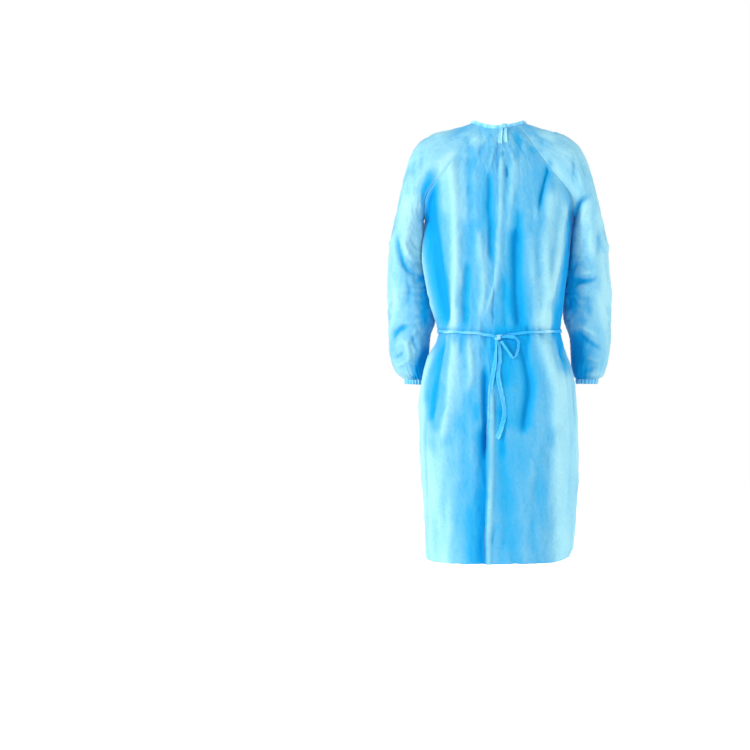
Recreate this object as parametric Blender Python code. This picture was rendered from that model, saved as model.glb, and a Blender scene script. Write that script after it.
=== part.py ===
"""Disposable isolation gown, worn form, back opening tied at nape and waist.

Metres, +Z up.  The front of the gown faces -Y and its back faces +Y, so the
wearer's left is +X.  The origin is the middle of the neck opening.  All the
tables are in millimetres.  The cloth is a wall on a middle surface, and the
sleeves are raglan: each runs from the neckline over the shoulder, and closes
to a tube at the armpit.
"""
import bisect
import math

import bmesh
import bpy
from mathutils import Vector

for old in list(bpy.data.objects):
    bpy.data.objects.remove(old, do_unlink=True)

# ---------------------------------------------------------------- sizes, mm
MM = 0.001
WALL = 1.2              # modelled wall of the cloth
BAND_WALL = 1.6         # folded strips: binding, belt, ties, cuffs
SEAM_GAP = 0.3          # clear distance between sewn pieces
LAP_OFFSET = 1.6        # each back panel from the shared middle surface
ARMPIT_Z = -243.0       # level where body and sleeve part
HEM_Z = -1118.0         # middle of the hem
BINDING_HEIGHT = 10.0   # neck binding above the cut neckline
BELT_WIDTH = 12.0       # belt as it lies, drawn in
BELT_STANDOFF = 5.8     # belt's middle from the cloth's middle surface
CUFF_LENGTH = 12.0      # elastic edge of the sleeve
LAP_COLUMN = 9          # the under panel ends this many columns past the lap edge
FRONT_COLUMNS = 14      # per half of the front
BACK_COLUMNS = 15       # per half of the back
SLEEVE_COLUMNS = 16     # round a sleeve

# Rows of the mesh: v is 0 at the neckline, 1 at the armpit, and past 1 it
# adds a metre of height below the armpit.
YOKE_V = (0.0, 0.15, 0.3, 0.45, 0.6, 0.75, 0.88, 1.0)
TORSO_Z = (-295, -360, -425, -480, -509, -533, -570, -630, -710, -800,
           -900, -1005, -1118)
ARM_V = (1.12, 1.26, 1.4, 1.52, 1.62, 1.71, 1.8, 1.9, 2.0)


class Table:
    """Named columns through the rows of a table, read on a smooth curve."""

    def __init__(self, names, rows):
        self.names = names.split()
        self.rows = rows

    def at(self, t):
        rows = self.rows
        t = min(max(t, rows[0][0]), rows[-1][0])
        k = 0
        while k < len(rows) - 2 and t > rows[k + 1][0]:
            k += 1
        a, b = rows[k], rows[k + 1]
        h = b[0] - a[0]
        s = (t - a[0]) / h
        out = {}
        for i, name in enumerate(self.names):
            slopes = []
            for j in (k, k + 1):
                lo, hi = max(j - 1, 0), min(j + 1, len(rows) - 1)
                slopes.append((rows[hi][i] - rows[lo][i]) / (rows[hi][0] - rows[lo][0]))
            out[name] = ((2 * s**3 - 3 * s**2 + 1) * a[i] + (s**3 - 2 * s**2 + s) * h * slopes[0]
                         + (3 * s**2 - 2 * s**3) * b[i] + (s**3 - s**2) * h * slopes[1])
        return out


# Raglan sleeve from neckline (v 0) to armpit (v 1), left side; x is mirrored
# for the right.  o: the outermost line over the shoulder.  m: midway between
# the front and back seams.  d, dx, dz: half depth from front to back, and how
# far the back seam lies from the front one.  arc: half angle of the ring that
# the sleeve covers.  off: the sleeve's step away from the body's own edge.
# more: how much fuller the left shoulder stands.
SHOULDER = Table("v ox oz mx mz cy d dx dz arc off more", (
    (0.00,  74,    8,   54,   -8,   2,  65,  -6, 14,  38, 0.0, 0.0),
    (0.20, 116,   -4,   84,  -36,   3,  71, -11,  5,  50, 0.0, 2.0),
    (0.40, 166,  -18,  116,  -70,   6,  75, -13, -5,  66, 0.0, 6.0),
    (0.60, 214,  -53,  150, -118,   6,  80, -10, -5,  88, 0.2, 6.0),
    (0.80, 240, -120,  181, -180,   4,  76,   3,  0, 120, 0.9, 2.0),
    (0.90, 253, -168,  189, -215,   1,  70,   4, -2, 146, 2.2, 0.0),
    (1.00, 268, -226,  192, -243,  -5,  64,   0,  0, 180, 3.2, 0.0),
))

# Sleeve from armpit (v 1) to wrist (v 2): outer and inner line, middle depth
# and half depth.
ARM_LEFT = Table("v ox oz mx mz cy d", (
    (1.00, 268, -226, 195.2, -243,  -5, 64),
    (1.12, 281, -290, 199.5, -296, -14, 64),
    (1.26, 288, -352, 197.5, -352, -26, 64),
    (1.42, 290, -432, 182.5, -425, -44, 63),
    (1.57, 291, -500, 169,   -492, -58, 62),
    (1.70, 289, -545, 180,   -542, -66, 60),
    (1.82, 287, -588, 184,   -590, -71, 57),
    (1.93, 274, -628, 187,   -630, -75, 48),
    (2.00, 246, -652, 190,   -655, -77, 34),
))
ARM_RIGHT = Table("v ox oz mx mz cy d", (
    (1.00, 268, -226, 195.2, -243,  -5, 64),
    (1.12, 282, -290, 190.5, -296, -14, 64),
    (1.26, 289, -352, 183.5, -352, -26, 64),
    (1.42, 295, -432, 174,   -425, -42, 63),
    (1.57, 297, -500, 171,   -492, -54, 62),
    (1.70, 296, -545, 187,   -542, -62, 60),
    (1.82, 292, -590, 191,   -592, -67, 57),
    (1.93, 281, -630, 195,   -632, -70, 48),
    (2.00, 262, -652, 206,   -652, -72, 34),
))

# Middle lines of front and back: height, depth, the half angle that a panel
# covers of its section, and the section's squareness.
PROFILE = Table("v zf yf zb yb bf bb n", (
    (0.000,   -58,  -64,    -9,  62, 52, 43, 2.0),
    (0.200,   -95,  -84,   -40,  77, 57, 47, 2.0),
    (0.400,  -130, -101,   -78,  93, 62, 53, 2.1),
    (0.600,  -166, -115,  -124, 107, 69, 61, 2.2),
    (0.800,  -205, -125,  -181, 117, 77, 73, 2.3),
    (0.900,  -226, -129,  -214, 120, 83, 81, 2.4),
    (1.000,  -247, -131,  -246, 121, 90, 90, 2.5),
    (1.074,  -317, -131,  -317, 119, 90, 90, 2.5),
    (1.204,  -447, -123,  -447, 109, 90, 90, 2.5),
    (1.277,  -520, -115,  -520, 104, 90, 90, 2.5),
    (1.321,  -564, -119,  -564, 112, 90, 90, 2.5),
    (1.425,  -668, -131,  -668, 132, 90, 90, 2.5),
    (1.542,  -785, -140,  -785, 143, 90, 90, 2.5),
    (1.659,  -902, -146,  -902, 146, 90, 90, 2.5),
    (1.776, -1019, -149, -1019, 147, 90, 90, 2.5),
    (1.875, -1118, -151, -1118, 148, 90, 90, 2.5),
))

# Side seams below the armpit: half width on each side, depth and height.
SIDES = Table("v left right ys zs", (
    (1.000, 192, 192, -5,  -243),
    (1.074, 196, 183, -5,  -317),
    (1.140, 189, 176, -5,  -383),
    (1.204, 176, 168, -5,  -447),
    (1.243, 167, 164, -5,  -486),
    (1.277, 159, 162, -5,  -520),
    (1.295, 156, 162, -5,  -538),
    (1.321, 163, 167, -4,  -564),
    (1.347, 176, 174, -4,  -590),
    (1.373, 185, 185, -3,  -616),
    (1.425, 197, 196, -2,  -668),
    (1.542, 204, 203,  0,  -785),
    (1.659, 200, 204,  0,  -901),
    (1.776, 191, 197,  0, -1019),
    (1.875, 188, 187,  0, -1119),
))

# The free edge of the outer back panel: how far left of the middle it lies.
LAP_EDGE = Table("v x", (
    (0.000, -4), (0.350, 2), (0.800, 6), (1.050, 8), (1.150, 10), (1.256, 13),
    (1.310, 16), (1.410, 21), (1.470, 24), (1.570, 27), (1.720, 30),
    (1.830, 34), (1.875, 36),
))

# Largest folds of the body, as ridges (+) and troughs (-) that run down the
# cloth from (x0, z0) to (x1, z1).
BODY_FOLDS = (
    # face    x0    z0    x1    z1  width height
    ("back",  184,  -130,  136,  -500,  16, -12.0),
    ("back",  128,   -90,   94,  -500,  16,  8.0),
    ("back",   28,  -110,   26,  -300,  16, -5.0),
    ("back",  -44,  -170,  -50,  -500,  16, -10.0),
    ("back", -122,  -100, -112,  -250,  11, -6.0),
    ("back", -142,  -110, -128,  -500,  16,  8.0),
    ("back",  158,  -560,  150,  -790,  15, -8.0),
    ("back",  116,  -540,  112,  -720,  18,  7.0),
    ("back",   48,  -660,   40, -1118,  26, -11.0),
    ("back",  -88,  -545,  -92,  -800,  16, -10.0),
    ("back", -126,  -560, -122,  -900,  18,  6.0),
    ("back",  176,  -800,  170, -1118,  22,  6.0),
    ("back", -180,  -800, -172, -1118,  22,  6.0),
    ("front", -122,  -80, -126,  -500,  15,  7.0),
    ("front",  -98,  -90,  -96,  -500,  11, -7.0),
    ("front",   -4, -110,    0,  -260,  16,  5.0),
    ("front",  130, -120,  134,  -500,  15,  7.0),
    ("front",  158, -170,  150,  -470,  14, -6.0),
    ("front",   70, -380,   68,  -505,  12,  5.0),
    ("front",   44, -545,  138,  -860,  15,  7.0),
    ("front",   70, -545,  168,  -760,  14, -7.0),
    ("front",  -96, -560,  -98, -1118,  24, -10.0),
    ("front",    0, -545,    2, -1118,  18,  6.0),
    ("front", -160, -600, -166, -1118,  22,  6.0),
    ("front",  100, -900,  108, -1118,  24, -6.0),
)

# Largest folds of the sleeves: side, the level and angle where a fold starts
# and ends, its width and its height.
SLEEVE_FOLDS = (
    # side  v0    a0    v1    a1  width height
    (+1, 0.62,   60, 0.98,  110,  14, -6.0),
    (-1, 0.66,   20, 1.00,  130,  14, -9.0),
    (+1, 1.16,   40, 1.26,  120,  14, -8.0),
    (-1, 1.36,   30, 1.37,  130,  11, -8.0),
    (-1, 1.52,   20, 1.62,  120,  14, -8.0),
    (+1, 1.52,   30, 1.58,  140,  14, -8.0),
    (+1, 1.72,   30, 1.68,  150,  14,  7.0),
    (+1, 0.66,  -20, 1.00, -120,  14, -8.0),
    (-1, 0.66,  -20, 1.00, -120,  14, -8.0),
    (+1, 1.50,  -20, 1.62, -130,  14, -7.0),
    (-1, 1.54,  -20, 1.66, -130,  14, -7.0),
)

# Height of the belt's middle round the waist: s is 0 at the knot, 1 at the
# left side, 2 at the middle of the front, 3 at the right side, 4 at the knot.
BELT_LINE = Table("s z", (
    (0.00, -546), (0.10, -540), (0.28, -534), (0.60, -531), (1.00, -529),
    (1.50, -528), (2.00, -526), (2.50, -526), (3.00, -528), (3.40, -531),
    (3.72, -534), (3.90, -540), (4.00, -546),
))


# ------------------------------------------------------------ the surfaces
def ring_parts(v, side):
    """Middle, outward and depth vectors of a sleeve's ring, and its arc."""
    if v <= 1.0:
        r = SHOULDER.at(v)
        r["ox"] += r["more"] if side > 0 else 0.0
        arc = math.radians(min(r["arc"], 180.0))
        off = r["off"]
        depth = Vector((r["dx"], r["d"], r["dz"]))
    else:
        r = (ARM_LEFT if side > 0 else ARM_RIGHT).at(v)
        arc = math.pi
        off = 0.0
        depth = Vector((0.0, r["d"], 0.0))
    outer = Vector((r["ox"], r["cy"], r["oz"]))
    inner = Vector((r["mx"] + off, r["cy"], r["mz"]))
    out = (outer - inner) / (1.0 - math.cos(arc))
    return outer - out, out, depth, arc


def sleeve_point(v, side, angle):
    """A point of a sleeve: angle 0 is outermost, + towards the back."""
    centre, out, depth, _ = ring_parts(v, side)
    p = centre + out * math.cos(angle) + depth * math.sin(angle)
    return Vector((side * p.x, p.y, p.z))


def seam_point(v, face, side):
    """Where a body panel meets the sleeve, v from 0 to 1."""
    r = SHOULDER.at(v)
    arc = math.radians(min(r["arc"], 180.0))
    s = math.sin(arc) * (1.0 if face == "back" else -1.0)
    return Vector((side * (r["mx"] + r["dx"] * s), r["cy"] + r["d"] * s, r["mz"] + r["dz"] * s))


def half_row(v, face, side, fractions):
    """Points of a body row from its middle (0) to its side end (1)."""
    p = PROFILE.at(v)
    if v <= 1.0:
        end = seam_point(v, face, side)
    else:
        q = SIDES.at(v)
        end = Vector((side * (q["left"] if side > 0 else q["right"]), q["ys"], q["zs"]))
    key = face[0]
    mid = Vector((0.0, p["y" + key], p["z" + key]))
    half = math.radians(min(p["b" + key], 90.0))
    e = 2.0 / p["n"]
    top = max(math.cos(half), 0.0) ** e
    dense, run = [], [0.0]
    for k in range(121):
        a = half * k / 120
        s = (math.sin(a) / math.sin(half)) ** e
        c = (max(math.cos(a), 0.0) ** e - top) / (1.0 - top)
        dense.append(Vector((end.x * s, end.y + (mid.y - end.y) * c, end.z + (mid.z - end.z) * c)))
        if k:
            run.append(run[-1] + (dense[-1] - dense[-2]).length)
    out = []
    for f in fractions:
        want = min(max(f, 0.0), 1.0) * run[-1]
        k = min(max(bisect.bisect_right(run, want) - 1, 0), 119)
        w = (want - run[k]) / max(run[k + 1] - run[k], 1e-9)
        out.append(dense[k].lerp(dense[k + 1], min(max(w, 0.0), 1.0)))
    return out


def smooth(x):
    x = min(max(x, 0.0), 1.0)
    return x * x * (3.0 - 2.0 * x)


def fold_height(face, p, f):
    """How far the folds move the cloth at p, fading towards the seams."""
    total = 0.0
    for where, x0, z0, x1, z1, width, height in BODY_FOLDS:
        if where != face:
            continue
        t = (z0 - p.z) / (z0 - z1)
        if t < -0.25 or t > 1.25:
            continue
        ends = smooth((t + 0.25) / 0.4) * (smooth((1.25 - t) / 0.4) if z1 > HEM_Z + 30 else 1.0)
        d = (p.x - (x0 + (x1 - x0) * t)) / width
        total += height * ends * math.exp(-d * d)
    belt = 1.0 - 0.8 * math.exp(-((p.z + 522.0) / 22.0) ** 2)
    return total * belt * smooth((1.0 - abs(f)) / 0.12)


def normals_of(grid):
    """Unit normals of a grid of points, rows down and columns across."""
    rows, cols = len(grid), len(grid[0])
    out = []
    for j in range(rows):
        line = []
        for i in range(cols):
            across = grid[j][min(i + 1, cols - 1)] - grid[j][max(i - 1, 0)]
            down = grid[min(j + 1, rows - 1)][i] - grid[max(j - 1, 0)][i]
            n = down.cross(across)
            line.append(n.normalized() if n.length > 1e-9 else Vector((0, 0, 1)))
        out.append(line)
    return out


def moved(grid, heights):
    """The grid moved out along its own normals."""
    normals = normals_of(grid)
    return [[p + n * h for p, n, h in zip(line, ns, hs)]
            for line, ns, hs in zip(grid, normals, heights)]


def body_grid(face, columns):
    """Rows from neckline to hem; columns run so that normals face out.  The
    middle column of the back follows the lap edge."""
    levels = list(YOKE_V) + [1.0 + (ARMPIT_Z - z) / 1000.0 for z in TORSO_Z]
    grid, heights = [], []
    for v in levels:
        shift = 0.0
        if face == "back":
            flat = half_row(v, face, +1, (0.0, 0.05))
            shift = LAP_EDGE.at(v)["x"] * 0.05 / (flat[1] - flat[0]).length
        params = []
        for k in range(-columns, columns + 1):
            q = k / columns
            params.append(shift + (1.0 - shift if q >= 0 else 1.0 + shift) * q)
        if face == "back":
            params.reverse()
        row = [half_row(v, face, 1 if f >= 0 else -1, (abs(f),))[0] for f in params]
        grid.append(row)
        heights.append([fold_height(face, p, f) for p, f in zip(row, params)])
    out = moved(grid, heights)
    return out


def sleeve_grid(side):
    levels = list(YOKE_V) + list(ARM_V)
    grid, heights = [], []
    for v in levels:
        arc = ring_parts(v, side)[3]
        angles = [arc * (2.0 * k / SLEEVE_COLUMNS - 1.0) for k in range(SLEEVE_COLUMNS + 1)]
        row = [sleeve_point(v, side, a) for a in angles]
        high = []
        for a, k in zip(angles, range(SLEEVE_COLUMNS + 1)):
            total = 0.0
            for which, v0, a0, v1, a1, width, height in SLEEVE_FOLDS:
                if which != side:
                    continue
                deg = math.degrees(a)
                t = (deg - a0) / (a1 - a0)
                ends = smooth((t + 0.3) / 0.5) * smooth((1.3 - t) / 0.5)
                level = v0 + (v1 - v0) * min(max(t, 0.0), 1.0)
                d = (v - level) * 400.0 / width
                total += height * ends * math.exp(-d * d)
            edge = min(k, SLEEVE_COLUMNS - k) / SLEEVE_COLUMNS
            total *= smooth(edge / 0.14) * smooth((2.0 - v) / 0.06) * smooth(v / 0.2)
            high.append(total)
        if side < 0:
            row.reverse()
            high.reverse()
        grid.append(row)
        heights.append(high)
    return moved(grid, heights)


# ------------------------------------------------------------- the solids
def material(name, rgb, rough):
    mat = bpy.data.materials.new(name)
    mat.use_nodes = True
    shader = mat.node_tree.nodes["Principled BSDF"]
    shader.inputs["Base Color"].default_value = (*rgb, 1.0)
    shader.inputs["Roughness"].default_value = rough
    shader.inputs["Metallic"].default_value = 0.0
    return mat


def sheet_object(name, grid, wall, rgb, closed=False, rough=0.7):
    """A wall of cloth on a grid of points in millimetres."""
    bm = bmesh.new()
    verts = [[bm.verts.new(p * MM) for p in line] for line in grid]
    cols = len(grid[0])
    last = cols if closed else cols - 1
    for j in range(len(grid) - 1):
        for i in range(last):
            k = (i + 1) % cols
            a, b = verts[j][i], verts[j][k]
            c, d = verts[j + 1][k], verts[j + 1][i]
            if (a.co - c.co).length < (b.co - d.co).length:
                bm.faces.new((d, c, a))
                bm.faces.new((c, b, a))
            else:
                bm.faces.new((d, c, b))
                bm.faces.new((d, b, a))
    mesh = bpy.data.meshes.new(name)
    bm.to_mesh(mesh)
    bm.free()
    mesh.shade_smooth()
    obj = bpy.data.objects.new(name, mesh)
    bpy.context.scene.collection.objects.link(obj)
    mesh.materials.append(material(name + "_cloth", rgb, rough))
    mod = obj.modifiers.new("wall", "SOLIDIFY")
    mod.thickness = wall * MM
    mod.offset = 0.0
    mod.use_rim = True
    mod.use_even_offset = False
    return obj


def drawn_in(grid, neighbours):
    """Pull the first and last columns in from the seams, so that the walls of
    two pieces keep the seam gap where they meet at an angle."""
    out = [list(line) for line in grid]
    for j, line in enumerate(grid):
        for end, step in ((0, 1), (-1, -1)):
            inward = line[end + step] - line[end]
            size = inward.length
            inward.normalize()
            pull = SEAM_GAP / 2.0
            other = neighbours(j, end)
            if other is not None:
                open_angle = inward.angle(other)
                pull += min(WALL / 2.0 / max(math.tan(open_angle / 2.0), 0.05), 3.0)
            out[j][end] = line[end] + inward * min(pull, size * 0.6)
    return out


def column(grid, i):
    return [line[i] for line in grid]


YOKE = len(YOKE_V)
front = body_grid("front", FRONT_COLUMNS)
back = body_grid("back", BACK_COLUMNS)
sleeves = {+1: sleeve_grid(+1), -1: sleeve_grid(-1)}


def inward_dir(grid, j, end):
    line = grid[j]
    return (line[end + (1 if end == 0 else -1)] - line[end]).normalized()


# Front: its first column is on the right side (-X), its last on the left.
def front_meets(j, end):
    side = -1 if end == 0 else +1
    if j < YOKE:
        return inward_dir(sleeves[side], j, 0 if side > 0 else -1)
    return inward_dir(back, j, -1 if side < 0 else 0)


# Back: its first column is on the left side (+X), its last on the right.
def back_meets(j, end):
    side = +1 if end == 0 else -1
    if j < YOKE:
        return inward_dir(sleeves[side], j, -1 if side > 0 else 0)
    return inward_dir(front, j, 0 if side < 0 else -1)


def sleeve_meets(side):
    def meets(j, end):
        at_front = (end == 0) == (side > 0)
        if j < YOKE:
            if at_front:
                return inward_dir(front, j, -1 if side > 0 else 0)
            return inward_dir(back, j, 0 if side > 0 else -1)
        other = sleeves[side]
        return inward_dir(other, j, -1 if end == 0 else 0)
    return meets


CLOTH = (0.30, 0.62, 0.86)
sheet_object("front_panel", drawn_in(front, front_meets), WALL, CLOTH)

# The back is one surface that both back panels share.  The right panel lies
# outside and ends at the middle; the left one runs on beneath it.
back_cut = drawn_in(back, back_meets)
middle = BACK_COLUMNS


def lap(grid, sign, first, last):
    """One back panel, moved off the shared surface away from its side seam."""
    heights = []
    for line in grid:
        n = len(line) - 1
        heights.append([sign * LAP_OFFSET * smooth(min(i, n - i) / 4.0) for i in range(n + 1)])
    return [line[first:last + 1] for line in moved(grid, heights)]


under = lap(back_cut, -1.0, 0, middle + LAP_COLUMN)
outer = lap(back_cut, +1.0, middle, 2 * middle)
sheet_object("back_panel_left", under, WALL, (0.27, 0.60, 0.86))
sheet_object("back_panel_right", outer, WALL, (0.32, 0.64, 0.88))

for side, word in ((+1, "left"), (-1, "right")):
    sheet_object("sleeve_" + word, drawn_in(sleeves[side], sleeve_meets(side)), WALL,
                 (0.36, 0.68, 0.90))

# Elastic sleeve ends: short rings that carry on from the last sleeve ring.
for side, word in ((+1, "left"), (-1, "right")):
    centre, out, depth, _ = ring_parts(2.0, side)
    rows = []
    for k in range(2):
        drop = SEAM_GAP + WALL * 0.7 + CUFF_LENGTH * k
        swell = 1.0 - 0.03 * k
        ring = []
        for i in range(SLEEVE_COLUMNS):
            a = 2.0 * math.pi * i / SLEEVE_COLUMNS * side
            p = centre + out * (math.cos(a) * swell) + depth * (math.sin(a) * swell)
            ring.append(Vector((side * p.x, p.y, p.z - drop)))
        rows.append(ring)
    sheet_object("cuff_" + word, rows, BAND_WALL, (0.45, 0.72, 0.90), closed=True)


# Neck binding: a folded strip on top of the cut neckline, from the corner of
# the under panel round the neck to the corner of the outer panel.
def top_edge():
    line = []
    line += [(under[0][i], under[1][i]) for i in range(len(under[0]) - 1, -1, -2)]
    grid = sleeves[+1]
    line += [(grid[0][i], grid[1][i]) for i in range(SLEEVE_COLUMNS - 3, 1, -5)]
    line += [(front[0][i], front[1][i]) for i in range(len(front[0]) - 1, -1, -2)]
    grid = sleeves[-1]
    line += [(grid[0][i], grid[1][i]) for i in range(SLEEVE_COLUMNS - 3, 1, -5)]
    line += [(outer[0][i], outer[1][i]) for i in range(len(outer[0]) - 1, 0, -2)]
    line.append((outer[0][0], outer[1][0]))
    return line


low, high = [], []
for here, below in top_edge():
    up = ((here - below).normalized() * 0.45 + Vector((0.0, 0.0, 1.0)) * 0.55).normalized()
    gap = SEAM_GAP + WALL * 0.35
    low.append(here + up * gap)
    high.append(here + up * (gap + BINDING_HEIGHT))
sheet_object("neck_binding", [high, low][::-1], BAND_WALL, (0.50, 0.78, 0.93))


# Belt: a strip round the waist that stands just clear of the cloth.
def belt_point(s, drop, lift):
    turn = s if s <= 2.0 else 4.0 - s
    side = +1 if s <= 2.0 else -1
    face = "back" if turn <= 1.0 else "front"
    f = turn if turn <= 1.0 else 2.0 - turn
    z = BELT_LINE.at(s)["z"] + drop
    v = 1.0 + (ARMPIT_Z - z) / 1000.0
    a, b = half_row(v, face, side, (max(f - 0.01, 0.0), min(f + 0.01, 1.0)))
    p = half_row(v, face, side, (f,))[0]
    along = (b - a).normalized() * side * (1 if face == "front" else -1)
    out = Vector((along.y, -along.x, 0.0)).normalized()
    if out.dot(Vector((p.x, p.y, 0.0))) < 0.0:
        out = -out
    return p + out * (lift + fold_height(face, p, f))


BELT_STEPS = 42
rows = []
for k in range(BELT_STEPS + 1):
    s = 0.05 + (4.0 - 0.10) * k / BELT_STEPS
    rows.append([belt_point(s, BELT_WIDTH / 2.0, BELT_STANDOFF),
                 belt_point(s, -BELT_WIDTH / 2.0, BELT_STANDOFF)])
sheet_object("belt", rows, BAND_WALL, (0.42, 0.74, 0.93))


# Ties: strips along a path, with a width vector turned about the path.
def back_surface(x, z):
    """The outer panel's middle surface behind (x, z)."""
    v = 1.0 + (ARMPIT_Z - z) / 1000.0
    if z > ARMPIT_Z:
        lo, hi = 0.0, 1.0
        for _ in range(30):
            v = (lo + hi) / 2.0
            if PROFILE.at(v)["zb"] > z:
                lo = v
            else:
                hi = v
    side = 1 if x >= 0 else -1
    lo, hi = 0.0, 1.0
    for _ in range(18):
        f = (lo + hi) / 2.0
        if abs(half_row(v, "back", side, (f,))[0].x) < abs(x):
            lo = f
        else:
            hi = f
    p = half_row(v, "back", side, (lo,))[0]
    return p.y + fold_height("back", p, lo) + LAP_OFFSET


def tie(name, columns, rows, steps, rgb):
    """A strip from a table of x, z, stand-off, width and turn in degrees."""
    table = Table(columns, rows)
    first, last = rows[0][0], rows[-1][0]
    line = []
    for k in range(steps + 1):
        r = table.at(first + (last - first) * k / steps)
        y = back_surface(r["x"], r["z"]) + r["off"]
        line.append((Vector((r["x"], y, r["z"])), r["width"], math.radians(r["turn"])))
    grid = []
    for k, (p, width, turn) in enumerate(line):
        ahead = (line[min(k + 1, steps)][0] - line[max(k - 1, 0)][0]).normalized()
        across = ahead.cross(Vector((0.0, 1.0, 0.0))).normalized()
        lift = across.cross(ahead).normalized()
        w = (across * math.cos(turn) + lift * math.sin(turn)) * (width / 2.0)
        grid.append([p - w, p + w])
    return sheet_object(name, grid, BAND_WALL, rgb)


TIE = (0.50, 0.80, 0.95)
tie("belt_loop", "t x z off width turn", (
    (0.0,  -9, -549, 10,  8,  60),
    (1.0, -26, -547, 13,  9,  65),
    (2.0, -45, -551, 14,  9,  75),
    (3.0, -50, -570, 12,  9,  90),
    (4.0, -39, -598, 10,  8,  90),
    (5.0, -24, -581, 10,  8,  80),
    (6.0,  -8, -557, 10,  7,  65),
), 24, TIE)
tie("belt_tail_long", "t x z off width turn", (
    (0.0,  -2, -560,  7,  9,  25),
    (1.0,  -8, -602,  6, 12,  15),
    (2.0,   2, -648,  5, 14,   5),
    (3.0, -13, -697,  6, 16,  25),
    (4.0, -20, -740,  6, 17,  20),
    (5.0,  -6, -792,  5, 18, -10),
    (6.0,   8, -812,  5, 18, -15),
), 18, TIE)
tie("belt_tail_short", "t x z off width turn", (
    (0.0,   9, -557,  7,  9, -20),
    (1.0,  13, -615,  6, 12, -10),
    (2.0,  23, -680,  5, 14,  10),
    (3.0,  23, -755,  5, 15,   0),
), 12, TIE)
tie("neck_tie_left", "t x z off width turn", (
    (0.0,  -8,  -9, 5,  8,  0),
    (1.0,  -5, -27, 4, 10,  8),
    (2.0,  -4, -50, 4, 11,  0),
), 6, TIE)
tie("neck_tie_right", "t x z off width turn", (
    (0.0, -18,  -9, 5,  8,  0),
    (1.0, -17, -26, 4, 10, -8),
    (2.0, -18, -47, 4, 11,  0),
), 6, TIE)


def knot(name, centre, size, rgb):
    """A pulled-tight half knot: a short thick turn with a waist."""
    bm = bmesh.new()
    around, along = 10, 8
    rings = []
    for j in range(1, along):
        t = math.pi * j / along
        waist = 1.0 - 0.22 * math.exp(-((t - math.pi / 2.0) / 0.35) ** 2)
        ring = []
        for i in range(around):
            a = 2.0 * math.pi * i / around + 0.5 * math.cos(t)
            r = math.sin(t) ** 0.7 * waist
            ring.append(bm.verts.new(Vector((
                centre[0] + size[0] * math.cos(t),
                centre[1] + size[1] * r * math.cos(a),
                centre[2] + size[2] * r * math.sin(a))) * MM))
        rings.append(ring)
    ends = [bm.verts.new(Vector((centre[0] + size[0] * s, centre[1], centre[2])) * MM) for s in (1, -1)]
    for j in range(len(rings) - 1):
        for i in range(around):
            k = (i + 1) % around
            bm.faces.new((rings[j][i], rings[j][k], rings[j + 1][k], rings[j + 1][i]))
    for i in range(around):
        k = (i + 1) % around
        bm.faces.new((ends[0], rings[0][k], rings[0][i]))
        bm.faces.new((ends[1], rings[-1][i], rings[-1][k]))
    bmesh.ops.recalc_face_normals(bm, faces=bm.faces)
    mesh = bpy.data.meshes.new(name)
    bm.to_mesh(mesh)
    bm.free()
    mesh.shade_smooth()
    obj = bpy.data.objects.new(name, mesh)
    bpy.context.scene.collection.objects.link(obj)
    mesh.materials.append(material(name + "_cloth", rgb, 0.7))
    return obj


knot("belt_knot", (0, back_surface(0, -548) + 9, -548), (7.5, 5.5, 7.0), TIE)
knot("neck_knot", (-13, back_surface(-13, -12) + 8, -3), (7.0, 4.5, 4.5), TIE)
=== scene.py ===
"""Looks of a disposable isolation gown: thin nonwoven cloth in worn form, seen
from behind.  Sizes are in millimetres until a mesh is made.  Folds are placed
by where they lie in the 750 x 750 view, from the back and from the front."""
import math

import bpy
import numpy as np
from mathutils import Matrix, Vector


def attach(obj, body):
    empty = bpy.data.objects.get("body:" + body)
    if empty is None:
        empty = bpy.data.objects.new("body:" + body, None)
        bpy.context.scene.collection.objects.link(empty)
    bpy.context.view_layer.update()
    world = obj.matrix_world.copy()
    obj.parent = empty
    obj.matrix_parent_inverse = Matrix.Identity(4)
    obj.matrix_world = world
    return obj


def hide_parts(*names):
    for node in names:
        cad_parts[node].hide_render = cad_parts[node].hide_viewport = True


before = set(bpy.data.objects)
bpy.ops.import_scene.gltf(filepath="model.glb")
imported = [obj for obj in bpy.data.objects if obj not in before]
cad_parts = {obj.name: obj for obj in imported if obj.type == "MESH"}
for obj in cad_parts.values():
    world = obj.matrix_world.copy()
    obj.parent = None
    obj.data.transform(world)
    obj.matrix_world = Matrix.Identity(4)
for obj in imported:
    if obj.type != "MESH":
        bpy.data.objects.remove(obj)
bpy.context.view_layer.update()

# ------------------------------------------------------------------ the view
EYE_Z = -642.0          # height of the camera, mm
EYE_DIST = 4500.0       # camera to the gown's middle plane, mm
PX = 2.6                # mm in a pixel, in the gown's middle plane
MID_PX = 498.5          # pixel column of the gown's middle

cam_data = bpy.data.cameras.new("camera")
camera = bpy.data.objects.new("camera", cam_data)
bpy.context.scene.collection.objects.link(camera)
camera.location = (0.0, EYE_DIST * 0.001, EYE_Z * 0.001)
camera.rotation_euler = (math.radians(90.0), 0.0, math.radians(180.0))
cam_data.sensor_width = 36.0
cam_data.sensor_fit = "HORIZONTAL"
cam_data.lens = 36.0 * EYE_DIST / (750.0 * PX)
cam_data.shift_x = -(MID_PX - 375.0) / 750.0
bpy.context.scene.camera = camera
bpy.context.scene.view_settings.view_transform = "Standard"
bpy.context.scene.view_settings.look = "None"

# ------------------------------------------------- sizes shared with the CAD
MM = 0.001
LAP_OFFSET = 1.6
ARMPIT_Z = -243.0
HEM_Z = -1118.0
YOKE_MM = 245.0         # length of cloth from neckline to armpit
CUFF_LENGTH = 12.0
LAP_SHARE = 0.6         # how far under the outer panel the under panel runs
SHELL = 0.5             # thickness of the cloth shell


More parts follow.
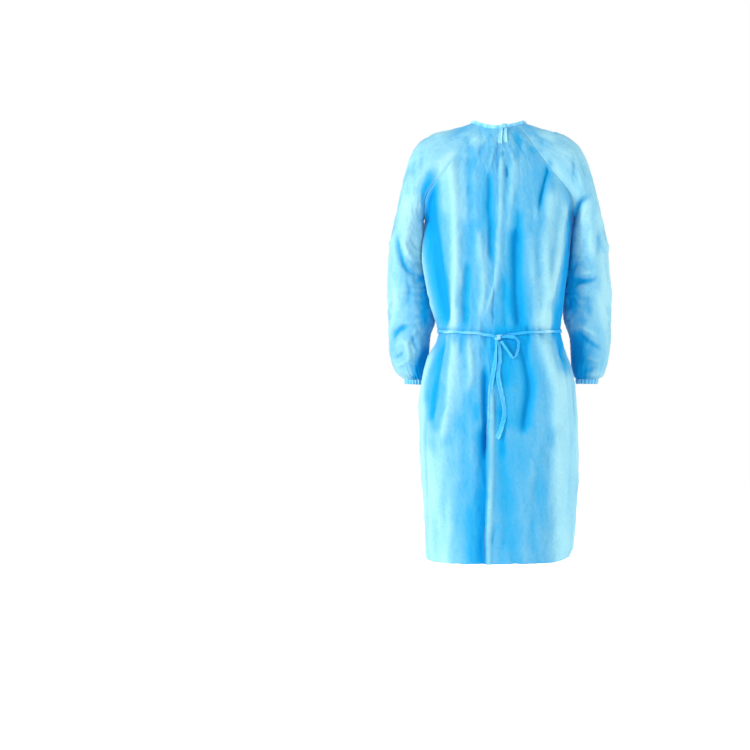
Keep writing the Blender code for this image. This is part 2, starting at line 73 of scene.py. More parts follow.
class Table:
    """Named columns through the rows of a table, read on a smooth curve."""

    def __init__(self, names, rows):
        self.names = names.split()
        self.a = np.array(rows, float)
        n = len(rows)
        lo = np.maximum(np.arange(n) - 1, 0)
        hi = np.minimum(np.arange(n) + 1, n - 1)
        self.slope = (self.a[hi] - self.a[lo]) / (self.a[hi, 0] - self.a[lo, 0])[:, None]

    def at(self, t):
        t = np.clip(np.asarray(t, float), self.a[0, 0], self.a[-1, 0])
        k = np.clip(np.searchsorted(self.a[:, 0], t, side="left") - 1, 0, len(self.a) - 2)
        a, b = self.a[k], self.a[k + 1]
        h = (b[..., 0] - a[..., 0])[..., None]
        s = (t[..., None] - a[..., :1]) / h
        out = ((2 * s**3 - 3 * s**2 + 1) * a + (s**3 - 2 * s**2 + s) * h * self.slope[k]
               + (3 * s**2 - 2 * s**3) * b + (s**3 - s**2) * h * self.slope[k + 1])
        return {name: out[..., i] for i, name in enumerate(self.names)}


SHOULDER = Table("v ox oz mx mz cy d dx dz arc off more", (
    (0.00,  74,    8,   54,   -8,   2,  65,  -6, 14,  38, 0.0, 0.0),
    (0.20, 116,   -4,   84,  -36,   3,  71, -11,  5,  50, 0.0, 2.0),
    (0.40, 166,  -18,  116,  -70,   6,  75, -13, -5,  66, 0.0, 6.0),
    (0.60, 214,  -53,  150, -118,   6,  80, -10, -5,  88, 0.2, 6.0),
    (0.80, 240, -120,  181, -180,   4,  76,   3,  0, 120, 0.9, 2.0),
    (0.90, 253, -168,  189, -215,   1,  70,   4, -2, 146, 2.2, 0.0),
    (1.00, 268, -226,  192, -243,  -5,  64,   0,  0, 180, 3.2, 0.0),
))
ARM_LEFT = Table("v ox oz mx mz cy d", (
    (1.00, 268, -226, 195.2, -243,  -5, 64),
    (1.12, 281, -290, 199.5, -296, -14, 64),
    (1.26, 288, -352, 197.5, -352, -26, 64),
    (1.42, 290, -432, 182.5, -425, -44, 63),
    (1.57, 291, -500, 169,   -492, -58, 62),
    (1.70, 289, -545, 180,   -542, -66, 60),
    (1.82, 287, -588, 184,   -590, -71, 57),
    (1.93, 274, -628, 187,   -630, -75, 48),
    (2.00, 246, -652, 190,   -655, -77, 34),
))
ARM_RIGHT = Table("v ox oz mx mz cy d", (
    (1.00, 268, -226, 195.2, -243,  -5, 64),
    (1.12, 282, -290, 190.5, -296, -14, 64),
    (1.26, 289, -352, 183.5, -352, -26, 64),
    (1.42, 295, -432, 174,   -425, -42, 63),
    (1.57, 297, -500, 171,   -492, -54, 62),
    (1.70, 296, -545, 187,   -542, -62, 60),
    (1.82, 292, -590, 191,   -592, -67, 57),
    (1.93, 281, -630, 195,   -632, -70, 48),
    (2.00, 262, -652, 206,   -652, -72, 34),
))
PROFILE = Table("v zf yf zb yb bf bb n", (
    (0.000,   -58,  -64,    -9,  62, 52, 43, 2.0),
    (0.200,   -95,  -84,   -40,  77, 57, 47, 2.0),
    (0.400,  -130, -101,   -78,  93, 62, 53, 2.1),
    (0.600,  -166, -115,  -124, 107, 69, 61, 2.2),
    (0.800,  -205, -125,  -181, 117, 77, 73, 2.3),
    (0.900,  -226, -129,  -214, 120, 83, 81, 2.4),
    (1.000,  -247, -131,  -246, 121, 90, 90, 2.5),
    (1.074,  -317, -131,  -317, 119, 90, 90, 2.5),
    (1.204,  -447, -123,  -447, 109, 90, 90, 2.5),
    (1.277,  -520, -115,  -520, 104, 90, 90, 2.5),
    (1.321,  -564, -119,  -564, 112, 90, 90, 2.5),
    (1.425,  -668, -131,  -668, 132, 90, 90, 2.5),
    (1.542,  -785, -140,  -785, 143, 90, 90, 2.5),
    (1.659,  -902, -146,  -902, 146, 90, 90, 2.5),
    (1.776, -1019, -149, -1019, 147, 90, 90, 2.5),
    (1.875, -1118, -151, -1118, 148, 90, 90, 2.5),
))
SIDES = Table("v left right ys zs", (
    (1.000, 192, 192, -5,  -243),
    (1.074, 196, 183, -5,  -317),
    (1.140, 189, 176, -5,  -383),
    (1.204, 176, 168, -5,  -447),
    (1.243, 167, 164, -5,  -486),
    (1.277, 159, 162, -5,  -520),
    (1.295, 156, 162, -5,  -538),
    (1.321, 163, 167, -4,  -564),
    (1.347, 176, 174, -4,  -590),
    (1.373, 185, 185, -3,  -616),
    (1.425, 197, 196, -2,  -668),
    (1.542, 204, 203,  0,  -785),
    (1.659, 200, 204,  0,  -901),
    (1.776, 191, 197,  0, -1019),
    (1.875, 188, 187,  0, -1119),
))
LAP_EDGE = Table("v x", (
    (0.000, -4), (0.350, 2), (0.800, 6), (1.050, 8), (1.150, 10), (1.256, 13),
    (1.310, 16), (1.410, 21), (1.470, 24), (1.570, 27), (1.720, 30),
    (1.830, 34), (1.875, 36),
))
BELT_LINE = Table("s z", (
    (0.00, -546), (0.10, -540), (0.28, -534), (0.60, -531), (1.00, -529),
    (1.50, -528), (2.00, -526), (2.50, -526), (3.00, -528), (3.40, -531),
    (3.72, -534), (3.90, -540), (4.00, -546),
))

# ---------------------------------------------------------------- the folds
# Each fold runs down a path of view pixels.  left and right are its widths in
# mm on either side, as seen in that view; height is + for a ridge, - for a
# trough.
BACK_FOLDS = (
    # path                                                         left right height
    # the upper back, down to the belt
    (((420, 222), (421.5, 245), (425, 265), (428.5, 285), (431.5, 305), (435.5, 327)), 7, 5, 8.0),
    (((427, 152), (428.5, 185), (427.5, 205), (429.5, 225), (433, 245), (436.5, 265), (440, 285),
      (443.5, 305), (447, 330)),                                      16, 17, -16.0),
    (((449, 146), (453, 180), (456.5, 215), (456.5, 255), (454.5, 300), (453, 330)), 18, 12, 10.0),
    (((470, 176), (471, 220), (470, 268)),                            10, 12,  -2.5),
    (((469, 256), (466, 285), (465, 308), (465.5, 332)),               8,  9,  -7.0),
    (((475, 160), (475, 225)),                                         9,  9,   2.5),
    (((478, 222), (481, 250), (483.5, 278), (484, 298), (479, 322)),  11,  9,   6.0),
    (((489.5, 166), (490.5, 190), (489.5, 206), (491, 224), (491.5, 244), (493, 268)), 8, 9, -7.5),
    (((501.5, 148), (501, 180), (500.5, 210), (498.5, 235), (498, 258), (495.5, 280), (489, 303), (484, 322)),
                                                                       4,  8,   4.5),
    (((514, 156), (513.5, 182), (511, 200), (510.5, 218)),             9,  9,   4.5),
    (((507, 163), (507.5, 180)),                                       4,  4,  -6.0),
    (((503, 148), (503, 158)),                                         3,  4,  -3.5),
    (((521, 204), (519, 220), (517, 240)),                            10, 12,  -5.5),
    (((517.5, 224), (515.5, 248), (515.5, 280), (517, 308), (520, 334)), 13, 17, -16.5),
    (((504, 270), (504.5, 300), (506, 336)),                          11, 12,  -6.5),
    (((531, 226), (533, 262), (536, 300), (539, 334)),                12, 10,   4.0),
    (((552, 184), (550, 204), (548, 226), (546, 250), (545.5, 270), (547.5, 290), (546, 305),
      (544, 320), (544, 336)),                                        12, 12,   7.0),
    (((552, 153), (548.5, 168), (544.5, 184), (541.5, 196), (539, 214)), 7,  7, -10.0),
    (((567, 196), (563, 215), (560, 234), (558, 255), (554, 275), (550.5, 292), (547.5, 308)), 9, 8, 6.5),
    # drag lines that spread from the tie at the nape
    (((493, 133), (483, 147), (474, 166)),                             5,  5,  -2.2),
    (((487, 131), (470, 143), (458, 156)),                             5,  6,   2.2),
    (((498, 140), (492, 156), (489, 175)),                             4,  5,   2.4),
    (((509, 132), (520, 146), (529, 164)),                             5,  5,  -2.4),
    (((513, 131), (530, 142), (545, 152)),                             4,  5,   2.0),
    (((506, 142), (513, 158), (519, 180)),                             4,  5,   2.4),
    (((466, 134), (470, 150)),                                         4,  5,  -2.0),
    # the skirt
    (((436, 334), (431.5, 352), (427, 376), (424, 396), (421.5, 424)), 7,  7,   6.5),
    (((444, 334), (441, 350), (438, 364), (435, 378), (432.5, 392), (431.5, 405), (430, 417), (429, 426)),
                                                                       9,  8,  -9.0),
    (((455, 334), (454, 348), (453, 362), (451, 380), (449, 400), (446, 420), (441, 446)), 11, 14, 8.5),
    (((462, 332), (461.5, 346), (460, 362)),                           5,  5,  -2.5),
    (((468, 333), (470, 352), (471, 374), (468, 396)),                10,  9,   6.0),
    (((486, 362), (486, 376), (485.5, 392), (486, 416), (486.5, 436), (486.5, 462)), 9, 5, -13.5),
    (((486.5, 422), (487, 465), (486.5, 495), (486, 520), (485, 566)), 24, 4, -12.5),
    (((490.5, 384), (491.8, 400), (491.8, 430), (491.5, 460), (491, 482), (490, 505), (489, 530), (488, 566)),
                                                                       3,  6,   5.5),
    (((503, 440), (505, 480), (506, 520), (508, 556)),                13, 18,  -3.0),
    (((521, 333), (523, 348), (526.5, 365), (529, 380), (529, 395), (526, 412), (523, 438)), 13, 14, -14.5),
    (((507, 334), (508, 360), (508, 392)),                            22, 24,  -4.0),
    (((541, 436), (537, 455), (530, 492)),                            12, 14,   3.0),
    (((543, 332), (546, 350), (549, 361), (552, 371), (555, 382), (557, 394), (557, 436)), 15, 13, 9.5),
    (((556, 330), (559.5, 344), (562, 354), (565, 366)),               6,  5,  -9.0),
    (((563, 420), (563.5, 480), (562, 566)),                          18, 12,   4.5),
    (((436, 446), (434, 500), (434, 566)),                            18, 22,   4.5),
    (((453, 460), (450, 510), (447, 566)),                            12, 12,   2.5),
    (((549, 446), (549, 475), (546, 500)),                             9,  9,  -2.5),
    (((536, 470), (535, 510), (533, 540)),                            10, 10,  -1.5),
    (((528, 480), (524, 530), (526, 566)),                            12, 12,   1.5),
)
FRONT_FOLDS = (
    (((202, 156), (208, 200), (211, 250), (212, 300), (211, 330)),    12,  9,   7.0),
    (((219, 152), (221, 200), (221, 250), (222, 300), (224, 330)),     9,  9,  -8.0),
    (((236, 160), (235, 220), (234, 280)),                            14, 14,   3.0),
    (((255, 146), (255, 175), (256, 206)),                            11, 11,   5.5),
    (((246, 175), (245, 235), (247, 300)),                             9, 12,  -4.0),
    (((268, 170), (270, 230), (269, 290)),                            12, 10,  -4.5),
    (((284, 250), (283.5, 290), (284, 328)),                           8,  7,   5.0),
    (((290, 262), (290, 300), (289, 328)),                             6,  7,  -6.0),
    (((304, 180), (307, 230), (307, 280), (304, 320)),                11,  9,   7.0),
    (((313, 205), (315, 250), (316, 300), (313, 328)),                 9,  8,  -8.0),
    (((196, 215), (197, 260), (199, 315)),                             9,  9,  -4.5),
    (((240, 150), (228, 168), (222, 196)),                             6,  7,  -3.0),
    (((272, 150), (284, 168), (292, 196)),                             7,  6,  -3.0),
    # the skirt, with folds that spread from the belt's right end
    (((273, 336), (279, 356), (287, 380), (300, 412), (309, 430)),    10,  9,   7.5),
    (((283, 336), (290, 362), (300, 390), (311, 416)),                 8,  9,  -8.0),
    (((292, 338), (298, 350), (304, 366)),                             7,  7,   5.0),
    (((262, 336), (264, 372), (270, 412)),                             8,  8,  -4.5),
    (((225, 336), (222, 380), (222, 440), (222, 500), (223, 558)),    16, 14, -11.0),
    (((206, 340), (203, 390), (201, 450), (200, 558)),                16, 13,   6.5),
    (((214, 336), (211, 352), (209, 378)),                             6,  6,  -4.0),
    (((240, 336), (240, 372), (241, 420)),                             9,  9,   4.5),
    (((257, 342), (257, 400), (258, 470), (258, 558)),                15, 12,   6.0),
    (((277, 420), (276, 480), (277, 558)),                            13, 13,  -5.5),
    (((294, 440), (296, 500), (296, 558)),                            14, 14,   4.0),
    (((312, 400), (311, 470), (312, 558)),                            13, 12,  -5.0),
    (((190, 400), (191, 470), (192, 558)),                            10, 11,  -3.0),
)
# Painted light: where the cloth is only paler (+, painted highlight) or deeper (-, painted shade) in colour.
BACK_PAINTED_LIGHT = (
    (((439, 374), (435, 394), (431, 412), (430, 426)),                10,  9,  -6.5),
    (((508, 334), (507, 362), (507, 400), (508, 436)),                38, 34,  -4.5),
    (((486, 337), (506, 336), (536, 337)),                            24, 24, -12.0),
    (((494, 334), (494, 392)),                                        12, 11,  -7.0),
    (((501, 398), (503, 462)),                                        10, 10,  -7.5),
    (((526, 318), (526, 366)),                                         9,  9,  -3.0),
    (((454, 300), (453, 322), (452.5, 340)),                          10, 12,   8.5),
    (((546, 304), (547, 322), (546, 346)),                            13, 10,   9.0),
    (((469, 322), (470, 346)),                                         9,  9,   4.0),
    (((559, 306), (559, 322), (560, 338), (563, 356)),                11, 11, -16.0),
    (((424, 150), (422, 166), (420, 182)),                            16, 18,  -9.0),
    (((568, 144), (569, 160)),                                        10, 10,  -4.0),
    (((418, 162), (421, 178), (424, 196), (425, 210)),                14, 10,  -5.5),
    (((432, 424), (436, 440), (442, 458)),                            14, 14,   4.5),
    (((470, 500), (470, 566)),                                        10, 10,  -3.5),
    (((448, 515), (447, 566)),                                        14, 12,   2.5),
    (((511, 282), (512, 300), (513, 324)),                            12, 14,  -6.0),
    (((509, 206), (509, 234)),                                         7,  7,   4.0),
    (((458, 152), (474, 158)),                                        10, 10,   4.0),
    (((485, 240), (486, 262), (487, 292)),                             7,  7,   3.5),
    (((461, 264), (461, 294)),                                         7,  7,   3.5),
    (((556, 244), (555, 268), (553, 292)),                             9,  9,   4.5),
    (((558, 424), (558, 500), (557, 566)),                            11, 11,   3.5),
    (((452, 308), (452, 326)),                                        10, 10,   3.0),
    (((526, 148), (546, 152)),                                         8,  8,  -4.0),
    (((541, 438), (540, 462)),                                         8,  8,  -2.5),
    (((534, 474), (534, 520)),                                         9,  9,   2.5),
    (((456, 137), (486, 138), (520, 138)),                            20, 20,   4.0),
    (((445, 498), (443, 530), (443, 566)),                            12, 14,   3.5),
    (((552, 440), (552, 500), (550, 566)),                            14, 14,   2.5),
    (((572, 208), (571, 228), (569, 248), (566.5, 268), (564, 284), (561.5, 300), (559, 312), (557, 324), (556, 344)),
                                                                      10, 20, -13.0),
    (((428, 214), (430, 240), (433, 268), (437, 296), (441, 318)),     9,  9,  -3.0),
    (((440, 150), (442, 184), (444, 222)),                            10, 12,   5.0),
    (((462, 148), (463, 184), (466, 228)),                            14, 14,   3.5),
    (((541, 270), (541, 300), (540, 336)),                            12, 12,   2.5),
    (((548, 300), (549, 336)),                                        10, 10,   4.0),
    (((557, 150), (557, 200), (553, 256)),                            11, 12,   3.5),
    (((520, 150), (519, 196)),                                        11, 11,   2.5),
    (((456, 340), (458, 380), (458, 424)),                            16, 16,   3.0),
    (((477, 398), (476, 428)),                                         8,  8,  -4.5),
    (((561, 362), (563, 400), (566, 440)),                            14, 14,   3.0),
    (((431, 440), (430, 500), (430, 566)),                            22, 42,   4.0),
    (((566, 366), (570, 400), (571, 440), (571, 500), (570, 566)),    28, 30,   8.0),
    (((423, 396), (421, 430), (421, 480), (423, 520)),                26, 22,   6.0),
    (((512, 430), (514, 500), (516, 566)),                            44, 44,  -1.6),
    (((466, 134), (465, 145)),                                         8,  8,  -4.0),
    (((490, 130), (489, 146)),                                         7,  8,  -3.5),
    (((513, 129), (517, 139), (524, 147)),                             8,  9,  -4.0),
    (((538, 138), (542, 146)),                                         8,  8,  -3.0),
    (((504, 146), (500, 154)),                                         6,  7,   4.0),
    (((478, 136), (480, 148)),                                         8,  8,   2.0),
    (((446, 140), (452, 160)),                                        12, 14,   4.0),
    (((531, 133), (533, 142)),                                         7,  7,   3.0),
    (((568, 150), (570, 165), (573, 184)),                            14, 18,  -5.0),
    (((419, 150), (417, 164), (423, 172)),                             9, 12,  -5.0),
)
# Painted light on the front: paler (+) or deeper (-) colour only.
FRONT_PAINTED_LIGHT = (
    (((198, 400), (197, 480), (198, 558)),                            26, 34,   6.0),
    (((318, 400), (319, 480), (318, 558)),                            34, 26,   6.0),
    (((240, 420), (240, 490), (240, 558)),                            40, 36,  -3.0),
    (((200, 180), (202, 240), (204, 320)),                            12, 20,   4.0),
    (((262, 160), (262, 240), (262, 320)),                            60, 60,  -2.0),
)
SLEEVE_BACK_FOLDS = (
    # left sleeve, seen from behind
    (((417, 148), (414, 160), (413, 172), (416, 184)),                 7,  7,  -5.0),
    (((428, 141), (423, 152), (421, 164), (423, 176)),                 5,  6,  -4.0),
    (((404, 168), (401, 190), (399, 214)),                             8,  8,   3.0),
    (((395, 230), (397, 246), (401.5, 260), (408, 270), (421, 276)),   6,  7,  -9.5),
    (((403, 234), (406, 249), (411, 258), (418, 264)),                 6,  7,   5.5),
    (((410, 236), (414, 244), (420, 252)),                             4,  5,  -4.5),
    (((392, 276), (395, 296), (396, 318)),                             9,  9,   4.0),
    (((412, 282), (409, 296), (408, 310)),                             7,  7,  -3.5),
    (((389, 344), (394, 335), (401, 329), (413, 326)),                 6,  7,  -8.0),
    (((398, 350), (404, 341), (408, 352), (409, 368)),                 8,  8,   5.5),
    (((412, 332), (414, 342), (417, 352)),                             4,  5,  -4.5),
    (((389, 359), (397, 357), (406, 351)),                             4,  4,  -5.0),
    (((392, 367), (402, 364), (412, 356)),                             4,  5,   3.0),
    (((428, 342), (424, 358), (418, 376)),                             8,  8,  -6.0),
    # right sleeve
    (((593, 193), (586, 198), (581, 202), (576, 209), (572.5, 220)),   6,  6, -11.0),
    (((594, 202), (587, 207), (583, 216), (581, 232)),                 6,  7,   5.0),
    (((573, 150), (574, 166), (573, 184)),                             5,  5,  -3.5),
    (((568, 144), (577, 154), (583, 168), (588, 184)),                 4,  6,  -3.5),
    (((579, 164), (580, 180), (585, 192)),                             5,  5,   3.0),
    (((600, 224), (598.5, 244), (596, 260)),                           6,  6,  -5.0),
    (((590, 224), (591, 244), (592, 264)),                             8,  7,   4.0),
    (((569, 281), (582, 281.5), (592, 280.5), (599, 276)),             5,  5, -10.0),
    (((574, 274), (586, 273), (599, 269)),                             5,  5,   3.5),
    (((580, 290), (588, 304), (592, 322)),                             8,  8,  -3.0),
    (((594, 286), (600, 302), (604, 322)),                             7,  8,   4.5),
    (((572, 330), (582, 337), (592, 344), (606, 352)),                 5,  5,  -7.0),
    (((577, 324), (589, 331), (600, 338)),                             5,  5,   4.0),
    (((576, 372), (588, 371), (598, 366)),                             5,  5,  -4.0),
    (((584, 356), (594, 360), (603, 362)),                             4,  5,   3.0),
    (((577, 336), (577, 352), (579, 370)),                            12, 12,  -6.0),
)
# Painted light on the sleeves seen from behind: paler (+) or deeper (-) colour only.
SLEEVE_BACK_PAINTED_LIGHT = (
    (((427, 262), (426, 290), (425, 332)),                            14, 13, -12.0),
    (((428, 342), (425, 356), (419, 370), (415, 386), (413, 410)),    10, 12, -17.0),
    (((412, 338), (412, 364)),                                         8,  8,   7.0),
    (((390, 320), (392, 338), (388, 364)),                            10, 12,  -8.0),
    (((430, 138), (442, 132), (456, 129)),                             8, 10,   5.0),
    (((533, 131), (545, 135), (562, 144)),                             8, 10,   5.0),
    (((600, 200), (602, 236)),                                        10, 10,   4.0),
    (((570, 318), (590, 324)),                                         9,  9,  -4.5),
    (((396, 330), (408, 327)),                                         9, 12,  -3.0),
    (((406, 190), (409, 226), (413, 262)),                            18, 20,   7.5),
    (((417, 192), (417, 226), (419, 254)),                            12, 10,   8.0),
    (((415, 278), (427, 280)),                                         9,  9,  -9.0),
    (((572, 236), (573, 256)),                                         8,  9,  -3.5),
    (((578, 364), (582, 404)),                                        16, 16,  -9.0),
    (((571, 205), (571, 235), (570.5, 260), (571, 292), (573, 318)),  18, 16, -14.0),
    (((574, 282), (588, 281)),                                         6,  7,  -6.0),
    (((575, 326), (577, 350), (580, 374), (583, 402)),                24, 24, -14.0),
    (((592, 334), (593, 352), (594, 376)),                            20, 20,  -3.5),
    (((584, 292), (586, 322)),                                        16, 16,  -2.0),
    (((590, 194), (587, 212), (590, 230)),                            10, 12,   6.0),
    (((604, 246), (606, 288), (606, 334)),                            12, 12,   7.0),
    (((389, 238), (387, 276), (387, 318)),                            12, 12,   6.0),
)
# Painted light on the sleeves seen from the front: paler (+) or deeper (-) colour only.
SLEEVE_FRONT_PAINTED_LIGHT = (
    (((186, 152), (182, 176), (178, 208)),                            10, 12,  -9.0),
    (((302, 146), (313, 168), (322, 188), (328, 212)),                10, 11, -10.0),
    (((322, 148), (330, 172), (334, 200)),                             7,  8,  -7.0),
    (((189, 262), (188, 300), (190, 330)),                            16, 14, -10.0),
    (((328, 262), (328, 300), (326, 330)),                            14, 16, -10.0),
)
SLEEVE_FRONT_FOLDS = (
    # seen from the front: the wearer's right sleeve is on the left
    (((190, 154), (184, 176), (178, 204)),                             7,  7,  -5.0),
    (((182, 160), (177, 184), (172, 212)),                             7,  7,   3.5),
    (((200, 158), (194, 176), (190, 200)),                             5,  5,  -4.0),
    (((189, 206), (180, 214), (168, 218)),                             5,  5,  -6.0),
    (((188, 232), (176, 246), (166, 252)),                             5,  6,  -4.0),
    (((192, 262), (180, 270), (164, 272), (154, 268)),                 5,  5,  -6.0),
    (((192, 276), (178, 284), (160, 284)),                             5,  5,   3.5),
    (((160, 290), (168, 306), (182, 318)),                             6,  6,  -4.0),
    (((194, 322), (178, 330), (156, 330)),                             5,  5,  -6.0),
    (((192, 340), (178, 346), (158, 350)),                             5,  5,   4.0),
    (((190, 354), (176, 360), (162, 364)),                             4,  5,  -5.0),
    (((314, 152), (324, 172), (331, 200)),                             6,  7,  -5.0),
    (((326, 158), (333, 178), (340, 204)),                             6,  7,   3.5),
    (((337, 166), (343, 188), (348, 212)),                             6,  6,  -3.5),
    (((329, 208), (338, 216), (350, 220)),                             5,  5,  -6.0),
    (((328, 240), (342, 250), (356, 252)),                             5,  6,  -4.0),
    (((324, 268), (338, 274), (358, 270)),                             5,  5,  -6.0),
    (((326, 284), (342, 288), (360, 284)),                             5,  5,   3.5),
    (((352, 292), (344, 308), (332, 318)),                             6,  6,  -4.0),
    (((322, 326), (338, 332), (360, 330)),                             5,  5,  -6.0),
    (((324, 344), (340, 350), (358, 352)),                             5,  5,   4.0),
    (((326, 360), (340, 366), (354, 366)),                             4,  5,  -4.5),
)


# ------------------------------------------------------------ field helpers
def smooth(x):
    x = np.clip(x, 0.0, 1.0)
    return x * x * (3.0 - 2.0 * x)


def curve_through(points, per=7):
    """Points on a smooth curve through the given ones."""
    p = np.array(points, float)
    t = np.arange(len(p))
    table = Table("t a b", [(k, *q) for k, q in enumerate(p)])
    at = table.at(np.linspace(0, t[-1], per * t[-1] + 1))
    return np.stack([at["a"], at["b"]], -1)


def fold_field(px, py, folds, open_below=1e9):
    """Sum of the folds at view pixels px, py, in mm."""
    total = np.zeros_like(px)
    for path, left, right, height in folds:
        line = curve_through(path)
        reach = 3.2 * max(left, right) / PX
        near = ((px > line[:, 0].min() - reach) & (px < line[:, 0].max() + reach)
                & (py > line[:, 1].min() - reach) & (py < line[:, 1].max() + reach))
        if not near.any():
            continue
        qx, qy = px[near], py[near]
        best = np.full(qx.shape, 1e9)
        sign = np.zeros_like(qx)
        along = np.zeros_like(qx)
        seg = np.diff(line, axis=0)
        size = np.hypot(seg[:, 0], seg[:, 1])
        run = np.concatenate([[0.0], np.cumsum(size)])
        for a, d, length, start in zip(line[:-1], seg, size, run):
            rx, ry = qx - a[0], qy - a[1]
            u = np.clip((rx * d[0] + ry * d[1]) / length**2, 0.0, 1.0)
            far = (rx - u * d[0]) ** 2 + (ry - u * d[1]) ** 2
            closer = far < best
            best = np.where(closer, far, best)
            sign = np.where(closer, d[0] * ry - d[1] * rx, sign)
            along = np.where(closer, start + u * length, along)
        width = np.where(sign > 0, left, right)
        fade = min(16.0, run[-1] * 0.4)
        ends = smooth(along / fade)
        if path[-1][1] < open_below:
            ends = ends * smooth((run[-1] - along) / fade)
        total[near] += height * ends * np.exp(-best * (PX / width) ** 2)
    return total


def creases(px, py, seed, count, box, lean=0.0, spread=20.0, length=(14, 46), width=(2.2, 6.0),
            height=(0.4, 1.7)):
    """Many short uneven creases: count of them in box, at random angles about
    lean degrees from vertical."""
    rng = np.random.default_rng(seed)
    total = np.zeros_like(px)
    for _ in range(count):
        cx = rng.uniform(box[0], box[2])
        cy = rng.uniform(box[1], box[3])
        angle = math.radians(lean + rng.normal(0.0, spread))
        half = rng.uniform(*length) / 2.0
        wide = rng.uniform(*width) / PX
        high = rng.uniform(*height) * (1.0 if rng.random() < 0.45 else -1.0)
        bend = rng.normal(0.0, 0.006)
        near = (np.abs(px - cx) < half + 4) & (np.abs(py - cy) < half + 4)
        if not near.any():
            continue
        rx, ry = px[near] - cx, py[near] - cy
        along = rx * math.sin(angle) + ry * math.cos(angle)
        across = rx * math.cos(angle) - ry * math.sin(angle) + bend * along**2
        total[near] += high * np.exp(-(across / wide) ** 2) * smooth(1.0 - np.abs(along) / half)
    return total


def wave_noise(x, y, seed, scale_x, scale_y, octaves=3):
    """Smooth seeded noise from a few dozen slanted waves, about -1 to 1."""
    rng = np.random.default_rng(seed)
    total, weight = np.zeros_like(x), 0.0
    for octave in range(octaves):
        f = 2.0**octave
        a = 0.55**octave
        for _ in range(7):
            kx = rng.normal(0.0, 1.0) * f / scale_x
            ky = rng.normal(0.0, 1.0) * f / scale_y
            total += a * np.sin(2.0 * math.pi * (kx * x + ky * y) + rng.uniform(0, 6.283))
        weight += a * math.sqrt(7 / 2.0)
    return total / weight / 1.4


def to_view(p):
    """View pixels of points in mm, seen from behind."""
    s = EYE_DIST / (EYE_DIST - p[..., 1])
    return MID_PX - p[..., 0] * s / PX, 375.0 - (p[..., 2] - EYE_Z) * s / PX


def to_front(p):
    """Pixels of points in the picture's front view."""
    return 258.0 + p[..., 0] / 2.68, 332.0 - (p[..., 2] + 526.0) / 2.62


# --------------------------------------------------------------- the surfaces
def normals_of(grid):
    """Unit outward normals of a grid (rows down, columns across)."""
    down = np.gradient(grid, axis=0)
    across = np.gradient(grid, axis=1)
    n = np.cross(down, across)
    return n / np.maximum(np.linalg.norm(n, axis=-1, keepdims=True), 1e-9)


def spaced(n, first, last, reach=0.03):
    """n + 1 values from 0 to 1, closer together at the ends by those factors."""
    t = np.linspace(0.0, 1.0, 4001)
    step = 1.0 / (1.0 + first * np.exp(-t / reach) + last * np.exp(-(1.0 - t) / reach))
    run = np.concatenate([[0.0], np.cumsum(1.0 / step[:-1])])
    return np.interp(np.linspace(0.0, run[-1], n + 1), run, t)


def body_levels():
    """Levels v from neckline to hem, closer at the edges and at the belt."""
    s, out = 0.0, [0.0]
    grow = 1.0
    end = YOKE_MM + (ARMPIT_Z - HEM_Z)
    while s < end - 2.0:
        z = ARMPIT_Z - (s - YOKE_MM)
        step = 4.1
        if s < 10 or s > end - 10:
            step = 2.0
        elif -600 < z < -478:
            step = 2.8
        s = min(s + step * grow, end)
        out.append(s / YOKE_MM if s <= YOKE_MM else 1.0 + (s - YOKE_MM) / 1000.0)
    out = np.array(out)
    k = int(np.argmin(np.abs(out - 1.0)))
    out[k] = 1.0
    out[-1] = 1.0 + (ARMPIT_Z - HEM_Z) / 1000.0
    return out, k


LEVELS, ARMPIT_ROW = body_levels()
HALF = 76
AROUND = 108


def seam_line(v, face, side):
    r = SHOULDER.at(v)
    arc = np.radians(np.minimum(r["arc"], 180.0))
    s = np.sin(arc) * (1.0 if face == "back" else -1.0)
    return np.stack([side * (r["mx"] + r["dx"] * s), r["cy"] + r["d"] * s, r["mz"] + r["dz"] * s], -1)


def dense_half(v, face, side):
    """Dense points of body rows from the middle to the side, and their run."""
    p = PROFILE.at(v)
    key = face[0]
    q = SIDES.at(v)
    low = np.stack([side * (q["left"] if side > 0 else q["right"]), q["ys"], q["zs"]], -1)
    end = np.where((v <= 1.0)[:, None], seam_line(np.minimum(v, 1.0), face, side), low)
    mid = np.stack([np.zeros_like(v), p["y" + key], p["z" + key]], -1)
    half = np.radians(np.minimum(p["b" + key], 90.0))[:, None]
    e = (2.0 / p["n"])[:, None]
    top = np.maximum(np.cos(half), 0.0) ** e
    a = half * np.linspace(0.0, 1.0, 121)[None, :]
    s = (np.sin(a) / np.sin(half)) ** e
    c = (np.maximum(np.cos(a), 0.0) ** e - top) / (1.0 - top)
    pts = np.stack([end[:, None, 0] * s,
                    end[:, None, 1] + (mid[:, None, 1] - end[:, None, 1]) * c,
                    end[:, None, 2] + (mid[:, None, 2] - end[:, None, 2]) * c], -1)
    run = np.concatenate([np.zeros((len(v), 1)),
                          np.cumsum(np.linalg.norm(np.diff(pts, axis=1), axis=-1), axis=1)], axis=1)
    return pts, run


